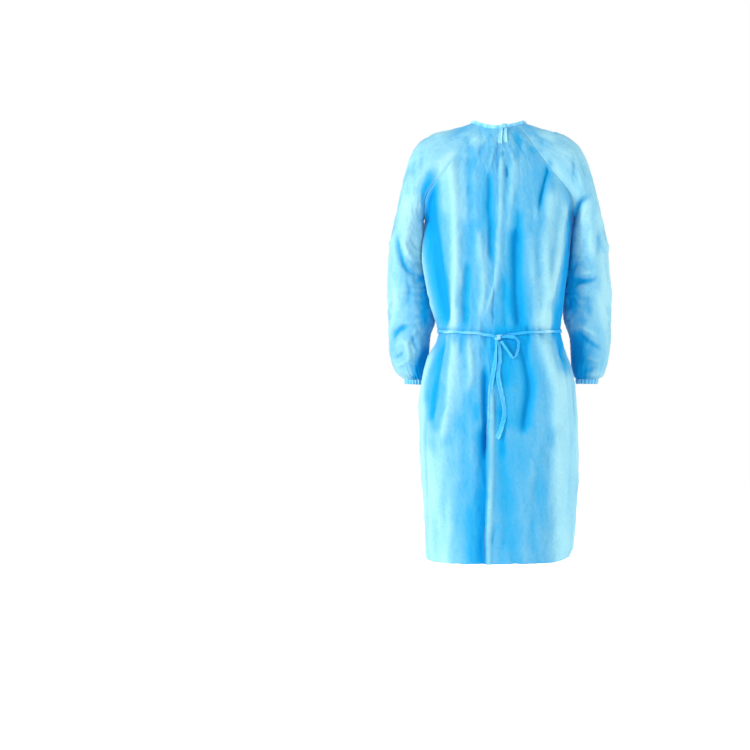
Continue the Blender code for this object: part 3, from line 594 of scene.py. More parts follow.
class Body:
    """Base surface of the front or the back on the rows of LEVELS."""

    def __init__(self, face, q):
        self.face, self.q = face, q
        lp, lr = dense_half(LEVELS, face, +1)
        rp, rr = dense_half(LEVELS, face, -1)
        self.length = {+1: lr[:, -1], -1: rr[:, -1]}
        self.f = np.zeros((len(LEVELS), len(q)))
        self.base = np.zeros((len(LEVELS), len(q), 3))
        shift = LAP_EDGE.at(LEVELS)["x"] / lr[:, -1] if face == "back" else np.zeros(len(LEVELS))
        for j in range(len(LEVELS)):
            f = shift[j] + np.where(q >= 0, 1.0 - shift[j], 1.0 + shift[j]) * q
            signed = np.concatenate([-rr[j, :0:-1] / rr[j, -1], lr[j] / lr[j, -1]])
            dense = np.concatenate([rp[j, :0:-1], lp[j]])
            self.f[j] = f
            for k in range(3):
                self.base[j, :, k] = np.interp(f, signed, dense[:, k])
        half = np.where(self.f >= 0, self.length[+1][:, None], self.length[-1][:, None])
        self.across = self.f * half                      # mm from the middle
        self.to_seam = (1.0 - np.abs(self.f)) * half     # mm from the side seam
        self.down = np.where(LEVELS <= 1.0, LEVELS * YOKE_MM,
                             YOKE_MM + (LEVELS - 1.0) * 1000.0)[:, None] + 0.0 * self.f


def belt_gathers(across, z, belt_z, seed, half_width):
    """Uneven small pleats drawn in under the belt."""
    rng = np.random.default_rng(seed)
    total = np.zeros_like(z)
    x = -half_width
    while x < half_width:
        x += rng.uniform(9.0, 24.0)
        high = rng.uniform(1.0, 3.4) * (1.0 if rng.random() < 0.5 else -1.0)
        wide = rng.uniform(3.5, 7.0)
        up, down = rng.uniform(16.0, 70.0), rng.uniform(24.0, 95.0)
        lean_up, lean_down = rng.normal(0.0, 0.10), rng.normal(0.0, 0.10) + 0.10 * x / half_width
        dz = z - belt_z
        line = x + np.where(dz > 0, lean_up * dz, -lean_down * dz)
        fade = np.where(dz > 0, smooth(1.0 - dz / up), smooth(1.0 + dz / down))
        grow = 1.0 + np.abs(dz) / 60.0
        total += high * fade * np.exp(-((across - line) / (wide * grow)) ** 2)
    return total


def crumple(x, y, seed, scale_x, scale_y):
    """Angular crumple lines, 0 on the flat and -1 along the lines."""
    n = wave_noise(x, y, seed, scale_x, scale_y, 2)
    m = wave_noise(x, y, seed + 1, scale_x * 1.6, scale_y * 0.6, 2)
    return -np.exp(-np.abs(n) / 0.16) - 0.7 * np.exp(-np.abs(m) / 0.13)


def flank_folds(body, seed):
    """Long uneven folds down the two flanks, in the cloth's own sizes."""
    rng = np.random.default_rng(seed)
    total = np.zeros_like(body.down)
    belt_down = YOKE_MM + (ARMPIT_Z + 532.0)
    y = body.down
    for side in (+1, -1):
        on = (body.f * side >= 0).astype(float)
        d = 2.0
        sign = 1.0
        while d < 125.0:
            d += rng.uniform(12.0, 21.0)
            for part in range(2):
                if rng.random() < 0.12:
                    continue
                sign = -sign if rng.random() < 0.8 else sign
                high = sign * rng.uniform(2.6, 5.6)
                wide = rng.uniform(6.5, 11.0)
                if part == 0:
                    first, last = rng.uniform(235.0, 330.0), belt_down - rng.uniform(0.0, 60.0)
                else:
                    first, last = belt_down + rng.uniform(0.0, 25.0), rng.uniform(760.0, 1300.0)
                lean, bend = rng.normal(0.0, 0.035), rng.uniform(2.0, 5.0)
                phase, wave = rng.uniform(0, 6.28), rng.uniform(180.0, 330.0)
                line = d + lean * (y - belt_down) + bend * np.sin(2.0 * math.pi * y / wave + phase)
                fade = smooth((y - first) / 55.0) * smooth((last - y) / 90.0)
                grow = 1.0 + (0.5 * smooth((y - belt_down) / 500.0) if part else 0.0)
                total += on * high * fade * np.exp(-((body.to_seam - line) / (wide * grow)) ** 2)
    return total


def body_heights(body):
    """Displacement of the cloth, and the part of it that is large folds."""
    p, f = body.base, body.f
    face = body.face
    if face == "back":
        px, py = to_view(p)
        placed = fold_field(px, py, BACK_FOLDS, open_below=560)
        tint = fold_field(px, py, BACK_PAINTED_LIGHT, open_below=560)
        s = np.where(f >= 0, np.abs(f), 4.0 - np.abs(f))
        seed = 21
    else:
        px, py = to_front(p)
        placed = fold_field(px, py, FRONT_FOLDS, open_below=556)
        tint = fold_field(px, py, FRONT_PAINTED_LIGHT, open_below=556)
        s = np.where(f >= 0, 2.0 - np.abs(f), 2.0 + np.abs(f))
        seed = 22
    x, y = body.across, body.down
    yoke = smooth((y - 215.0) / 60.0)
    aside = smooth((42.0 - body.to_seam) / 36.0) * yoke
    flank = smooth((125.0 - body.to_seam) / 60.0) * yoke
    sides = flank_folds(body, seed + 40)
    skirt = smooth((y - 560.0) / 80.0)
    large = placed * (1.0 - aside) + sides * flank * (0.35 + 0.65 * aside + 0.30 * skirt * (1.0 - aside))
    # painted light: the colour follows the large folds, painted shade in troughs and a painted highlight on ridges, and
    # the painted strokes of the tables; the flanks get a painted highlight, and the skirt's sides are paler still from
    # a little below the belt, with painted streaks along the skirt's flank folds
    rim = smooth((y - np.where(f > 0, 690.0, 620.0)) / 80.0) if face == "back" else 0.4 * smooth((y - 640.0) / 80.0)
    body.shade = large + tint * (1.0 - 0.9 * aside) + (1.0 + 1.6 * rim + 0.7 * sides) * aside
    body.shade += 0.55 * skirt * (1.0 - aside) * sides * smooth((100.0 - body.to_seam) / 50.0)
    above = smooth((y - 225.0) / 40.0) * smooth((YOKE_MM - ARMPIT_Z + 30.0 - y) / 40.0)
    if face == "back":
        # painted highlight: the left flank is paler beside the deep fold, where it catches light
        body.shade += 4.0 * above * (f > 0) * np.exp(-((body.to_seam - 26.0) / 15.0) ** 2)
    body.shade += 0.7 * wave_noise(x, y, seed + 60, 60.0, 260.0, 2)
    belt_z = BELT_LINE.at(s)["z"]
    dz = p[..., 2] - belt_z
    near_belt = np.exp(-(dz / 12.0) ** 2)
    seam = smooth(body.to_seam / np.maximum(0.085 * np.where(
        f >= 0, body.length[+1][:, None], body.length[-1][:, None]), 1.0))
    large = large * (1.0 - 0.70 * near_belt) * seam
    u, w = x / PX, y / PX
    fine = creases(u, w, seed - 10, 330, (-115, 8, 115, 440), spread=13.0)
    fine += creases(u, w, seed - 5, 260, (-115, 8, 115, 220), spread=36.0, length=(9, 26),
                    width=(2.0, 4.5), height=(0.3, 1.2))
    soft = (1.3 * wave_noise(x, y, seed, 75.0, 420.0) + 0.5 * wave_noise(x, y, seed + 5, 26.0, 90.0)
            + 0.28 * wave_noise(x, y, seed + 9, 11.0, 34.0, 2))
    soft += 0.75 * crumple(x, y, seed + 15, 95.0, 210.0) + 0.40 * crumple(x, y, seed + 17, 42.0, 80.0)
    # cloth pressed out against the sleeves
    large = large + 3.4 * above * np.exp(-((body.to_seam - 31.0) / 16.0) ** 2) * (1.0 if face == "back" else 0.6)
    gathers = belt_gathers(x, p[..., 2], belt_z, seed + 2, 300.0)
    edge = smooth(body.to_seam / 22.0)
    neck = smooth(body.down / 30.0)
    h = large * neck + (soft + fine * (1.0 - 0.5 * near_belt)) * edge * neck + gathers * smooth(body.to_seam / 14.0)
    h = h - 2.6 * near_belt
    return h, large


def seam_form(to_seam, run, seed):
    """The seam's own relief: a sunk line, a flat allowance and puckers."""
    d = to_seam
    pucker = np.sin(2.0 * math.pi * (run / 13.0 + 0.35 * wave_noise(run, run * 0.0, seed, 60.0, 60.0, 2)))
    return (-0.5 * np.exp(-(d / 1.8) ** 2) + 0.35 * smooth(d / 3.0) * smooth((10.0 - d) / 3.0)
            + 0.40 * pucker * np.exp(-d / 10.0) * smooth(d / 2.0))


class Sleeve:
    """Base surface of a sleeve: neckline to armpit open, then a tube."""

    def __init__(self, side):
        self.side = side
        table = ARM_LEFT if side > 0 else ARM_RIGHT
        upper = LEVELS[:ARMPIT_ROW + 1]
        count = 124
        lower = 1.0 + spaced(count, 0.0, 1.6, 0.10)[1:]
        v = np.concatenate([upper, lower])
        r, q = SHOULDER.at(np.minimum(v, 1.0)), table.at(np.maximum(v, 1.0))
        up = v <= 1.0
        pick = lambda name: np.where(up, r[name], q[name])
        arc = np.where(up, np.radians(np.minimum(r["arc"], 180.0)), math.pi)
        off = np.where(up, 3.2 * smooth((v - 0.9) / 0.1), 0.0)
        ox = pick("ox") + np.where(up, r["more"] * (1.0 if side > 0 else 0.0), 0.0)
        outer = np.stack([ox, pick("cy"), pick("oz")], -1)
        inner = np.stack([pick("mx") + off, pick("cy"), pick("mz")], -1)
        out = (outer - inner) / (1.0 - np.cos(arc))[:, None]
        centre = outer - out
        depth = np.stack([np.where(up, r["dx"], 0.0), pick("d"), np.where(up, r["dz"], 0.0)], -1)
        t = 2.0 * spaced(AROUND, 5.0, 5.0, 0.012) - 1.0
        angle = arc[:, None] * t[None, :]
        base = (centre[:, None] + out[:, None] * np.cos(angle)[..., None]
                + depth[:, None] * np.sin(angle)[..., None])
        base[..., 0] *= side
        self.v, self.t, self.angle, self.arc = v, t, angle, arc
        if side < 0:
            base, self.angle, self.t = base[:, ::-1], angle[:, ::-1], t[::-1]
        self.base = base
        step = np.linalg.norm(np.diff(base, axis=1), axis=-1)
        run = np.concatenate([np.zeros((len(v), 1)), np.cumsum(step, axis=1)], axis=1)
        self.across = run - run[:, -1:] / 2.0
        self.to_seam = np.minimum(run, run[:, -1:] - run)
        line = base[:, AROUND // 2]
        self.down = np.concatenate([[0.0], np.cumsum(np.linalg.norm(np.diff(line, axis=0), axis=-1))])[:, None] \
            + 0.0 * self.across


# The sleeve's outer side, hidden from behind and in front: mm towards the back
# from the outer line, mm down from the neckline, then as above.
SLEEVE_SIDE_FOLDS = (
    (((-30, 110), (-14, 160), (-4, 215)),                             15, 13,  -3.0),
    (((16, 118), (26, 170), (30, 230)),                               13, 15,   3.2),
    (((44, 190), (30, 240), (6, 285)),                                11, 13,  -3.6),
    (((-52, 205), (-30, 262), (-2, 312)),                             13, 11,   3.6),
    (((60, 268), (38, 305), (8, 330)),                                10, 12,  -4.2),
    (((-66, 290), (-36, 322), (-6, 338)),                             10, 10,  -4.4),
    (((-58, 318), (-22, 350), (22, 356)),                             10, 11,   4.0),
    (((62, 342), (34, 372), (-4, 382)),                                9, 11,  -4.6),
    (((-70, 372), (-34, 396), (0, 398)),                              10,  9,  -4.2),
    (((54, 398), (26, 416), (-18, 420)),                               9, 10,   4.2),
    (((-60, 428), (-30, 446), (2, 470)),                              10, 11,   3.4),
    (((58, 440), (40, 478), (26, 520)),                               12, 11,  -3.6),
    (((-42, 470), (-36, 512), (-16, 556)),                            12, 12,  -3.4),
    (((2, 492), (8, 530), (2, 572)),                                  12, 12,   3.2),
    (((64, 556), (34, 582), (-6, 588)),                                9, 10,  -4.0),
    (((-66, 566), (-34, 594), (4, 606)),                               9, 10,   3.8),
    (((48, 596), (16, 618), (-24, 616)),                               8,  9,  -3.8),
    (((-54, 610), (-24, 634), (10, 640)),                              8,  8,  -3.2),
)


def pleats(angle, side):
    """Uneven radial gathers of a sleeve end, about -1 to 1."""
    n = 21 if side > 0 else 20
    return (np.sin(n * angle + 1.4 * np.sin(3 * angle + 0.6 * side) + 0.8 * np.sin(5 * angle))
            * (0.75 + 0.25 * np.sin(4 * angle + side)) + 0.35 * np.sin((n * 2 - 5) * angle + 1.0))


def sleeve_heights(sl):
    p, side = sl.base, sl.side
    px, py = to_view(p)
    fx, fy = to_front(p)
    back = smooth(0.5 + np.sin(sl.angle) / 0.5)
    front = 1.0 - back
    x, y = sl.across, sl.down
    out = np.cos(sl.angle)
    aside = smooth((out - 0.55) / 0.35) * smooth((y - 90.0) / 60.0)
    # side folds start and end a little differently on the two sleeves
    lower = y if side > 0 else y - 9.0 + 5.0 * np.sin(y / 60.0)
    sides = fold_field(x * side / PX + 200.0, lower / PX, [
        (tuple((a / PX + 200.0, d / PX) for a, d in path), left, right, height)
        for path, left, right, height in SLEEVE_SIDE_FOLDS])
    large = ((fold_field(px, py, SLEEVE_BACK_FOLDS) * back
              + fold_field(fx, fy, SLEEVE_FRONT_FOLDS) * front) * (1.0 - 0.8 * aside)
             + 0.62 * sides * (0.25 + 0.75 * aside))
    fine = creases(x / PX, y / PX, 31 + side, 300, (-75, 20, 75, 275), spread=42.0, length=(9, 26),
                   width=(2.0, 5.0), height=(0.4, 1.6))
    soft = (1.2 * wave_noise(x, y, 41 + side, 70.0, 160.0) + 0.6 * wave_noise(x, y, 45 + side, 28.0, 42.0)
            + 0.3 * wave_noise(x, y, 49 + side, 12.0, 16.0, 2))
    soft += 0.85 * crumple(x, y, 58 + side, 60.0, 95.0)
    elbow = np.exp(-((sl.v[:, None] - 1.42) / 0.24) ** 2)
    ring = (np.sin(2 * math.pi * (y / 27.0 + 0.5 * wave_noise(x, y, 55 + side, 90.0, 90.0, 2)))
            * elbow * 1.4 * smooth(0.5 - np.cos(sl.angle)))
    close = np.maximum(sl.v - 1.0, 0.0)[:, None]
    gather = pleats(sl.angle, side) * (1.9 * np.exp(-(1.0 - np.minimum(close, 1.0)) / 0.045)
                                       + 0.9 * np.exp(-(1.0 - np.minimum(close, 1.0)) / 0.14))
    edge = smooth(sl.to_seam / 26.0)
    neck = smooth(sl.down / 30.0)
    end = smooth((2.0 - sl.v) / 0.07)[:, None]
    h = (large + soft + ring + fine) * edge * neck * end + gather * smooth(sl.to_seam / 6.0)
    # cloth that drops over the elastic end
    puff = 4.5 if side < 0 else 2.5
    h += puff * np.exp(-((sl.v - 1.962) / 0.026) ** 2)[:, None] * (0.55 + 0.45 * np.cos(sl.angle))
    # painted light: paler on the outer side as a painted highlight, deeper near the neck and towards the body as
    # painted shade
    low = smooth((sl.v - 1.12) / 0.24)[:, None]
    top = smooth((sl.v - 0.08) / 0.50)[:, None]
    tint = fold_field(px, py, SLEEVE_BACK_PAINTED_LIGHT) * back + fold_field(fx, fy, SLEEVE_FRONT_PAINTED_LIGHT) * front
    base = (0.8 + 5.4 * top) * (1.0 - low) + (3.4 + 3.0 * out) * low
    sl.shade = (large + base
                + tint * (1.0 - 0.7 * aside) + 0.8 * aside
                - 6.0 * front * low * smooth(-out * 1.4 - 0.1)
                + 0.8 * wave_noise(x, y, 81 + side, 60.0, 110.0, 2)
                + (fold_field(px, py, BACK_FOLDS + BACK_PAINTED_LIGHT) * back + fold_field(fx, fy, FRONT_FOLDS) * front)
                * smooth(1.0 - sl.to_seam / 45.0) * (1.0 - low))
    # the inner side rests against the body, just clear of it
    body_side = SIDES.at(1.0 + np.maximum(ARMPIT_Z - p[..., 2], 0.0) / 1000.0)["left" if side > 0 else "right"]
    inner = np.abs(p[:, :1, 0])
    gap = np.maximum(inner - body_side[:, :1] - 1.7, 0.0)
    end_z = -530.0 if side > 0 else -480.0
    reach = smooth((p[:, :1, 2] - end_z) / 60.0) * (sl.v > 1.0)[:, None]
    h += gap * reach * np.exp(-((math.pi - np.abs(sl.angle)) / 0.55) ** 2)
    h += 3.6 * reach * smooth((sl.v - 1.0) / 0.08)[:, None] * np.exp(-((np.abs(sl.angle) - math.pi + 0.52) / 0.34) ** 2)
    return h, large * edge * neck * end


# ------------------------------------------------------------------ meshes
def shell(name, grid, thick, attrs, closed=False, rims=True):
    """A thin closed shell on a grid of points in mm.  closed joins the last
    column to the first."""
    rows, cols = grid.shape[:2]
    if closed:
        wrapped = np.concatenate([grid[:, -1:], grid, grid[:, :1]], axis=1)
        n = normals_of(wrapped)[:, 1:-1]
    else:
        n = normals_of(grid)
    outer, inner = grid + n * thick / 2.0, grid - n * thick / 2.0
    verts = np.concatenate([outer.reshape(-1, 3), inner.reshape(-1, 3)]) * MM
    total = rows * cols
    j, i = np.meshgrid(np.arange(rows - 1), np.arange(cols if closed else cols - 1), indexing="ij")
    k = (i + 1) % cols
    a, b = j * cols + i, j * cols + k
    c, d = (j + 1) * cols + k, (j + 1) * cols + i
    quads = [np.stack([d, c, b, a], -1).reshape(-1, 4),
             np.stack([a, b, c, d], -1).reshape(-1, 4) + total]
    ring = np.arange(cols if closed else cols - 1)
    nxt = (ring + 1) % cols
    quads.append(np.stack([ring, nxt, nxt + total, ring + total], -1))
    base = (rows - 1) * cols
    quads.append(np.stack([base + nxt, base + ring, base + ring + total, base + nxt + total], -1))
    if not closed:
        r = np.arange(rows - 1)
        quads.append(np.stack([(r + 1) * cols, r * cols, r * cols + total, (r + 1) * cols + total], -1))
        e = cols - 1
        quads.append(np.stack([r * cols + e, (r + 1) * cols + e, (r + 1) * cols + e + total,
                               r * cols + e + total], -1))
    faces = np.concatenate(quads)
    mesh = bpy.data.meshes.new(name)
    mesh.vertices.add(len(verts))
    mesh.vertices.foreach_set("co", verts.ravel())
    mesh.loops.add(len(faces) * 4)
    mesh.loops.foreach_set("vertex_index", faces.ravel().astype(np.int32))
    mesh.polygons.add(len(faces))
    mesh.polygons.foreach_set("loop_start", np.arange(0, len(faces) * 4, 4, dtype=np.int32))
    mesh.update(calc_edges=True)
    mesh.validate()
    mesh.shade_smooth()
    for key, value in attrs.items():
        value = np.asarray(value, float)
        if value.ndim == 3:
            att = mesh.attributes.new(key, "FLOAT_VECTOR", "POINT")
            att.data.foreach_set("vector", np.concatenate([value.reshape(-1, 3)] * 2).ravel())
        else:
            att = mesh.attributes.new(key, "FLOAT", "POINT")
            att.data.foreach_set("value", np.concatenate([value.ravel()] * 2))
    obj = bpy.data.objects.new(name, mesh)
    bpy.context.scene.collection.objects.link(obj)
    return obj


# the cloth's coordinates, and its painted light and mottle
def cloth_attrs(across, down, to_seam, tone):
    return {"cloth": np.stack([across, down, np.minimum(to_seam, 60.0)], -1), "tone": tone}


# ---------------------------------------------------------------- materials
def nonwoven(name, colours, through, dots=0.5, seam=True):
    """Spun-bonded nonwoven: fibre mottling, bonding points, crumple bump, and
    painted light: a colour that deepens in troughs as painted shade and pales
    on ridges as a painted highlight."""
    mat = bpy.data.materials.new(name)
    mat.use_nodes = True
    nt = mat.node_tree
    nodes, links = nt.nodes, nt.links
    out = nodes["Material Output"]
    bsdf = nodes["Principled BSDF"]
    bsdf.inputs["Roughness"].default_value = 0.62
    bsdf.inputs["Specular IOR Level"].default_value = 0.14
    bsdf.inputs["Sheen Weight"].default_value = 0.45
    bsdf.inputs["Sheen Roughness"].default_value = 0.28
    bsdf.inputs["Sheen Tint"].default_value = (0.86, 0.97, 1.0, 1.0)

    def node(kind, **inputs):
        n = nodes.new(kind)
        for key, value in inputs.items():
            n.inputs[key].default_value = value
        return n

    def math_node(op, a, b=None, c=None, clamp=False):
        n = nodes.new("ShaderNodeMath")
        n.operation = op
        n.use_clamp = clamp
        for k, value in enumerate((a, b, c)):
            if value is None:
                continue
            if isinstance(value, (int, float)):
                n.inputs[k].default_value = value
            else:
                links.new(value, n.inputs[k])
        return n.outputs[0]

    cloth = nodes.new("ShaderNodeAttribute")
    cloth.attribute_name = "cloth"
    # the painted light and mottle that the mesh carries
    tone = nodes.new("ShaderNodeAttribute")
    tone.attribute_name = "tone"
    split = nodes.new("ShaderNodeSeparateXYZ")
    links.new(cloth.outputs["Vector"], split.inputs[0])
    flat = nodes.new("ShaderNodeCombineXYZ")
    links.new(split.outputs[0], flat.inputs[0])
    links.new(split.outputs[1], flat.inputs[1])

    def noise(scale, stretch=(1.0, 1.0), detail=3.0, rough=0.55):
        m = nodes.new("ShaderNodeMapping")
        m.inputs["Scale"].default_value = (scale * stretch[0], scale * stretch[1], 1.0)
        links.new(flat.outputs[0], m.inputs[0])
        n = node("ShaderNodeTexNoise", Scale=1.0, Detail=detail, Roughness=rough)
        n.noise_dimensions = "2D"
        links.new(m.outputs[0], n.inputs["Vector"])
        return n.outputs["Fac"]

    blotch = noise(1 / 55.0, (1.0, 0.5), 3.0)
    cloud = noise(1 / 9.0, (1.0, 0.8), 4.0, 0.6)
    fibre = noise(1 / 1.6, (1.0, 0.22), 3.0, 0.6)

    # painted light and mottle, moved a little by the blotches
    level = math_node("MULTIPLY_ADD", tone.outputs["Fac"], 0.5, 0.5)
    level = math_node("ADD", level, math_node("MULTIPLY_ADD", blotch, 0.20, -0.10))
    level = math_node("ADD", level, math_node("MULTIPLY_ADD", cloud, 0.12, -0.06))
    ramp = nodes.new("ShaderNodeValToRGB")
    ramp.color_ramp.interpolation = "B_SPLINE"
    stops = (0.0, 0.2, 0.5, 0.78, 1.0)
    ramp.color_ramp.elements[0].position = stops[0]
    ramp.color_ramp.elements[1].position = stops[-1]
    for place in stops[1:-1]:
        ramp.color_ramp.elements.new(place)
    for element, shade in zip(ramp.color_ramp.elements, colours):
        element.color = (*shade, 1.0)
    pale = colours[3]
    links.new(level, ramp.inputs[0])

    # fibres: a faint light and dark streak
    mix = nodes.new("ShaderNodeMix")
    mix.data_type = "RGBA"
    mix.blend_type = "MULTIPLY"
    mix.inputs["Factor"].default_value = 1.0
    streak = math_node("MULTIPLY_ADD", fibre, 0.26, 0.87)
    grey = nodes.new("ShaderNodeCombineColor")
    for k in range(3):
        links.new(streak, grey.inputs[k])
    links.new(ramp.outputs[0], mix.inputs["A"])
    links.new(grey.outputs[0], mix.inputs["B"])
    colour = mix.outputs["Result"]

    # bonding points: a staggered field of small sunk ovals, 2.2 mm apart
    def dot_field(shift):
        u = math_node("MULTIPLY_ADD", split.outputs[0], 1 / 2.2, shift)
        v = math_node("MULTIPLY_ADD", split.outputs[1], 1 / 2.6, shift)
        du = math_node("SUBTRACT", math_node("FRACT", u), 0.5)
        dv = math_node("SUBTRACT", math_node("FRACT", v), 0.5)
        d2 = math_node("ADD", math_node("MULTIPLY", du, du),
                       math_node("MULTIPLY", math_node("MULTIPLY", dv, dv), 0.7))
        return math_node("SUBTRACT", 1.0, math_node("MULTIPLY", d2, 22.0), clamp=True)

    points = math_node("MAXIMUM", dot_field(0.0), dot_field(0.5))
    darker = nodes.new("ShaderNodeMix")
    darker.data_type = "RGBA"
    darker.blend_type = "MULTIPLY"
    links.new(math_node("MULTIPLY", points, 0.35 * dots), darker.inputs["Factor"])
    links.new(colour, darker.inputs["A"])
    darker.inputs["B"].default_value = (0.55, 0.80, 0.95, 1.0)
    colour = darker.outputs["Result"]

    height = math_node("MULTIPLY", points, -0.10 * dots)
    height = math_node("ADD", height, math_node("MULTIPLY", fibre, 0.05))
    height = math_node("ADD", height, math_node("MULTIPLY", cloud, 0.55))
    if seam:
        # stitches beside the seam, and the paler doubled allowance
        near = math_node("SUBTRACT", 1.0, math_node(
            "MULTIPLY", math_node("ABSOLUTE", math_node("SUBTRACT", split.outputs[2], 5.5)), 1.1), clamp=True)
        dash = math_node("GREATER_THAN", math_node("FRACT", math_node("MULTIPLY", split.outputs[1], 1 / 3.6)), 0.3)
        height = math_node("ADD", height, math_node("MULTIPLY", math_node("MULTIPLY", near, dash), -0.45))
        doubled = math_node("MULTIPLY", math_node("SUBTRACT", 1.0, math_node(
            "MULTIPLY", split.outputs[2], 1 / 9.0), clamp=True), 1.0)
        doubled = math_node("MINIMUM", math_node("MULTIPLY", doubled, 2.0), 1.0)
        lift = nodes.new("ShaderNodeMix")
        lift.data_type = "RGBA"
        lift.blend_type = "MIX"
        links.new(math_node("MULTIPLY", doubled, 0.30), lift.inputs["Factor"])
        links.new(colour, lift.inputs["A"])
        lift.inputs["B"].default_value = (*pale, 1.0)
        colour = lift.outputs["Result"]
    bump = nodes.new("ShaderNodeBump")
    bump.inputs["Strength"].default_value = 1.0
    bump.inputs["Distance"].default_value = 0.001
    links.new(height, bump.inputs["Height"])
    links.new(bump.outputs[0], bsdf.inputs["Normal"])
    rough = math_node("MULTIPLY_ADD", points, -0.18, 0.64)
    links.new(rough, bsdf.inputs["Roughness"])
    links.new(colour, bsdf.inputs["Base Color"])

    glow = nodes.new("ShaderNodeBsdfTranslucent")
    links.new(colour, glow.inputs["Color"])
    links.new(bump.outputs[0], glow.inputs["Normal"])
    blend = nodes.new("ShaderNodeMixShader")
    blend.inputs[0].default_value = through
    links.new(bsdf.outputs[0], blend.inputs[1])
    links.new(glow.outputs[0], blend.inputs[2])
    links.new(blend.outputs[0], out.inputs["Surface"])
    return mat


# painted light, from painted shade in the deepest trough through the cloth's own blue to a painted highlight on the
# palest ridge
CLOTH_SHADE_TO_HIGHLIGHT = ((0.000, 0.440, 0.88), (0.004, 0.515, 0.89), (0.135, 0.565, 0.86), (0.360, 0.780, 0.92), (0.56, 0.92, 0.97))
SLEEVE_SHADE_TO_HIGHLIGHT = ((0.000, 0.430, 0.86), (0.006, 0.515, 0.89), (0.145, 0.575, 0.87), (0.360, 0.780, 0.92), (0.57, 0.92, 0.97))
EDGE_SHADE_TO_HIGHLIGHT = ((0.000, 0.270, 0.68), (0.030, 0.420, 0.82), (0.150, 0.550, 0.87), (0.360, 0.760, 0.94), (0.54, 0.90, 0.97))
BINDING_SHADE_TO_HIGHLIGHT = ((0.000, 0.280, 0.68), (0.030, 0.420, 0.82), (0.150, 0.550, 0.88), (0.340, 0.760, 0.94), (0.52, 0.90, 0.97))
TIE_SHADE_TO_HIGHLIGHT = ((0.000, 0.370, 0.82), (0.020, 0.480, 0.92), (0.130, 0.530, 0.87), (0.330, 0.750, 0.94), (0.50, 0.88, 0.97))
body_cloth = nonwoven("body_cloth", CLOTH_SHADE_TO_HIGHLIGHT, 0.36)
sleeve_cloth = nonwoven("sleeve_cloth", SLEEVE_SHADE_TO_HIGHLIGHT, 0.36)
edge_cloth = nonwoven("edge_cloth", EDGE_SHADE_TO_HIGHLIGHT, 0.12, seam=False)
binding_cloth = nonwoven("binding_cloth", BINDING_SHADE_TO_HIGHLIGHT, 0.10, seam=False)
tie_cloth = nonwoven("tie_cloth", TIE_SHADE_TO_HIGHLIGHT, 0.10, seam=False)


# ---------------------------------------------------------------- the panels
def piece(obj, material, slot, *nodes):
    obj.data.materials.append(material)
    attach(obj, "root")
    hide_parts(*nodes)
    return obj


# painted light from the shade field and the fine creases: deeper colour in their troughs, paler on their ridges
def painted_light_and_mottle_of(shade, fine_height):
    return 1.15 * np.tanh(shade / 10.5 + fine_height * 0.09)


front_q = np.concatenate([-spaced(HALF, 0.0, 5.0, 0.012)[:0:-1], spaced(HALF, 0.0, 5.0, 0.012)])
back_q = np.concatenate([spaced(HALF, 2.0, 5.0, 0.012)[:0:-1], -spaced(HALF, 2.0, 5.0, 0.012)])
front = Body("front", front_q)
back = Body("back", back_q)

surface = {}
for body in (front, back):
    h, large = body_heights(body)
    seam_h = seam_form(body.to_seam, body.down, 61 if body.face == "front" else 63)
    normals = normals_of(body.base)
    body.moved = body.base + normals * (h + seam_h)[..., None]
    body.large = large
    # painted light and mottle of the cloth, from its shade field
    body.tone = painted_light_and_mottle_of(body.shade, h - large)
    # the cut hem waves a little
    wave = 1.6 * wave_noise(body.across, body.across * 0.0, 71, 90.0, 90.0, 2)
    low = smooth((LEVELS - (LEVELS[-1] - 0.05)) / 0.05)[:, None]
    body.moved[..., 2] += wave * low
    tuck = smooth((LEVELS - (LEVELS[-1] - 0.045)) / 0.045)[:, None] ** 2
    right = smooth((-body.moved[..., 0] - 120.0) / 62.0)
    left = smooth((body.moved[..., 0] - 140.0) / 45.0)
    body.moved[..., 0] += tuck * (6.5 * right - 2.0 * left)
    body.moved[..., 2] += tuck * (7.0 * right + 3.0 * left)

front_panel = shell("front_panel_cloth", front.moved, SHELL,
                    cloth_attrs(front.across, front.down, front.to_seam, front.tone))
piece(front_panel, body_cloth, "body_cloth", "front_panel")

# The two back panels share the surface; the outer one's free edge lifts.
n_back = normals_of(back.moved)
side_fade = smooth((1.0 - np.abs(back_q)) / (4.0 / 15.0))[None, :]
MIDDLE = int(np.argmin(np.abs(back_q)))
UNDER_END = int(np.argmin(np.abs(back_q + LAP_SHARE)))
under_grid = (back.moved - n_back * (LAP_OFFSET * side_fade)[..., None])[:, :UNDER_END + 1]
from_edge = back.across[:, MIDDLE][:, None] - back.across
flare_rows = (1.3 + 2.4 * smooth((LEVELS - 1.33) / 0.14) + 1.5 * np.exp(-((LEVELS - 0.72) / 0.10) ** 2)
              + 0.9 * wave_noise(LEVELS * 1000.0, LEVELS * 0.0, 77, 170.0, 170.0, 2))
flare_rows = flare_rows * (1.0 - 0.8 * np.exp(-((LEVELS - 1.285) / 0.03) ** 2)) * smooth(LEVELS / 0.15)
flare = np.maximum(flare_rows, 0.0)[:, None] * np.exp(-np.maximum(from_edge, 0.0) / 13.0)
outer_grid = (back.moved + n_back * (LAP_OFFSET * side_fade + flare)[..., None])[:, MIDDLE:]
edge_wave = 1.1 * wave_noise(LEVELS * 1000.0, LEVELS * 0.0, 79, 120.0, 120.0, 2)
outer_grid[:, :8, 0] += edge_wave[:, None] * np.linspace(1.0, 0.0, 8)[None, :]

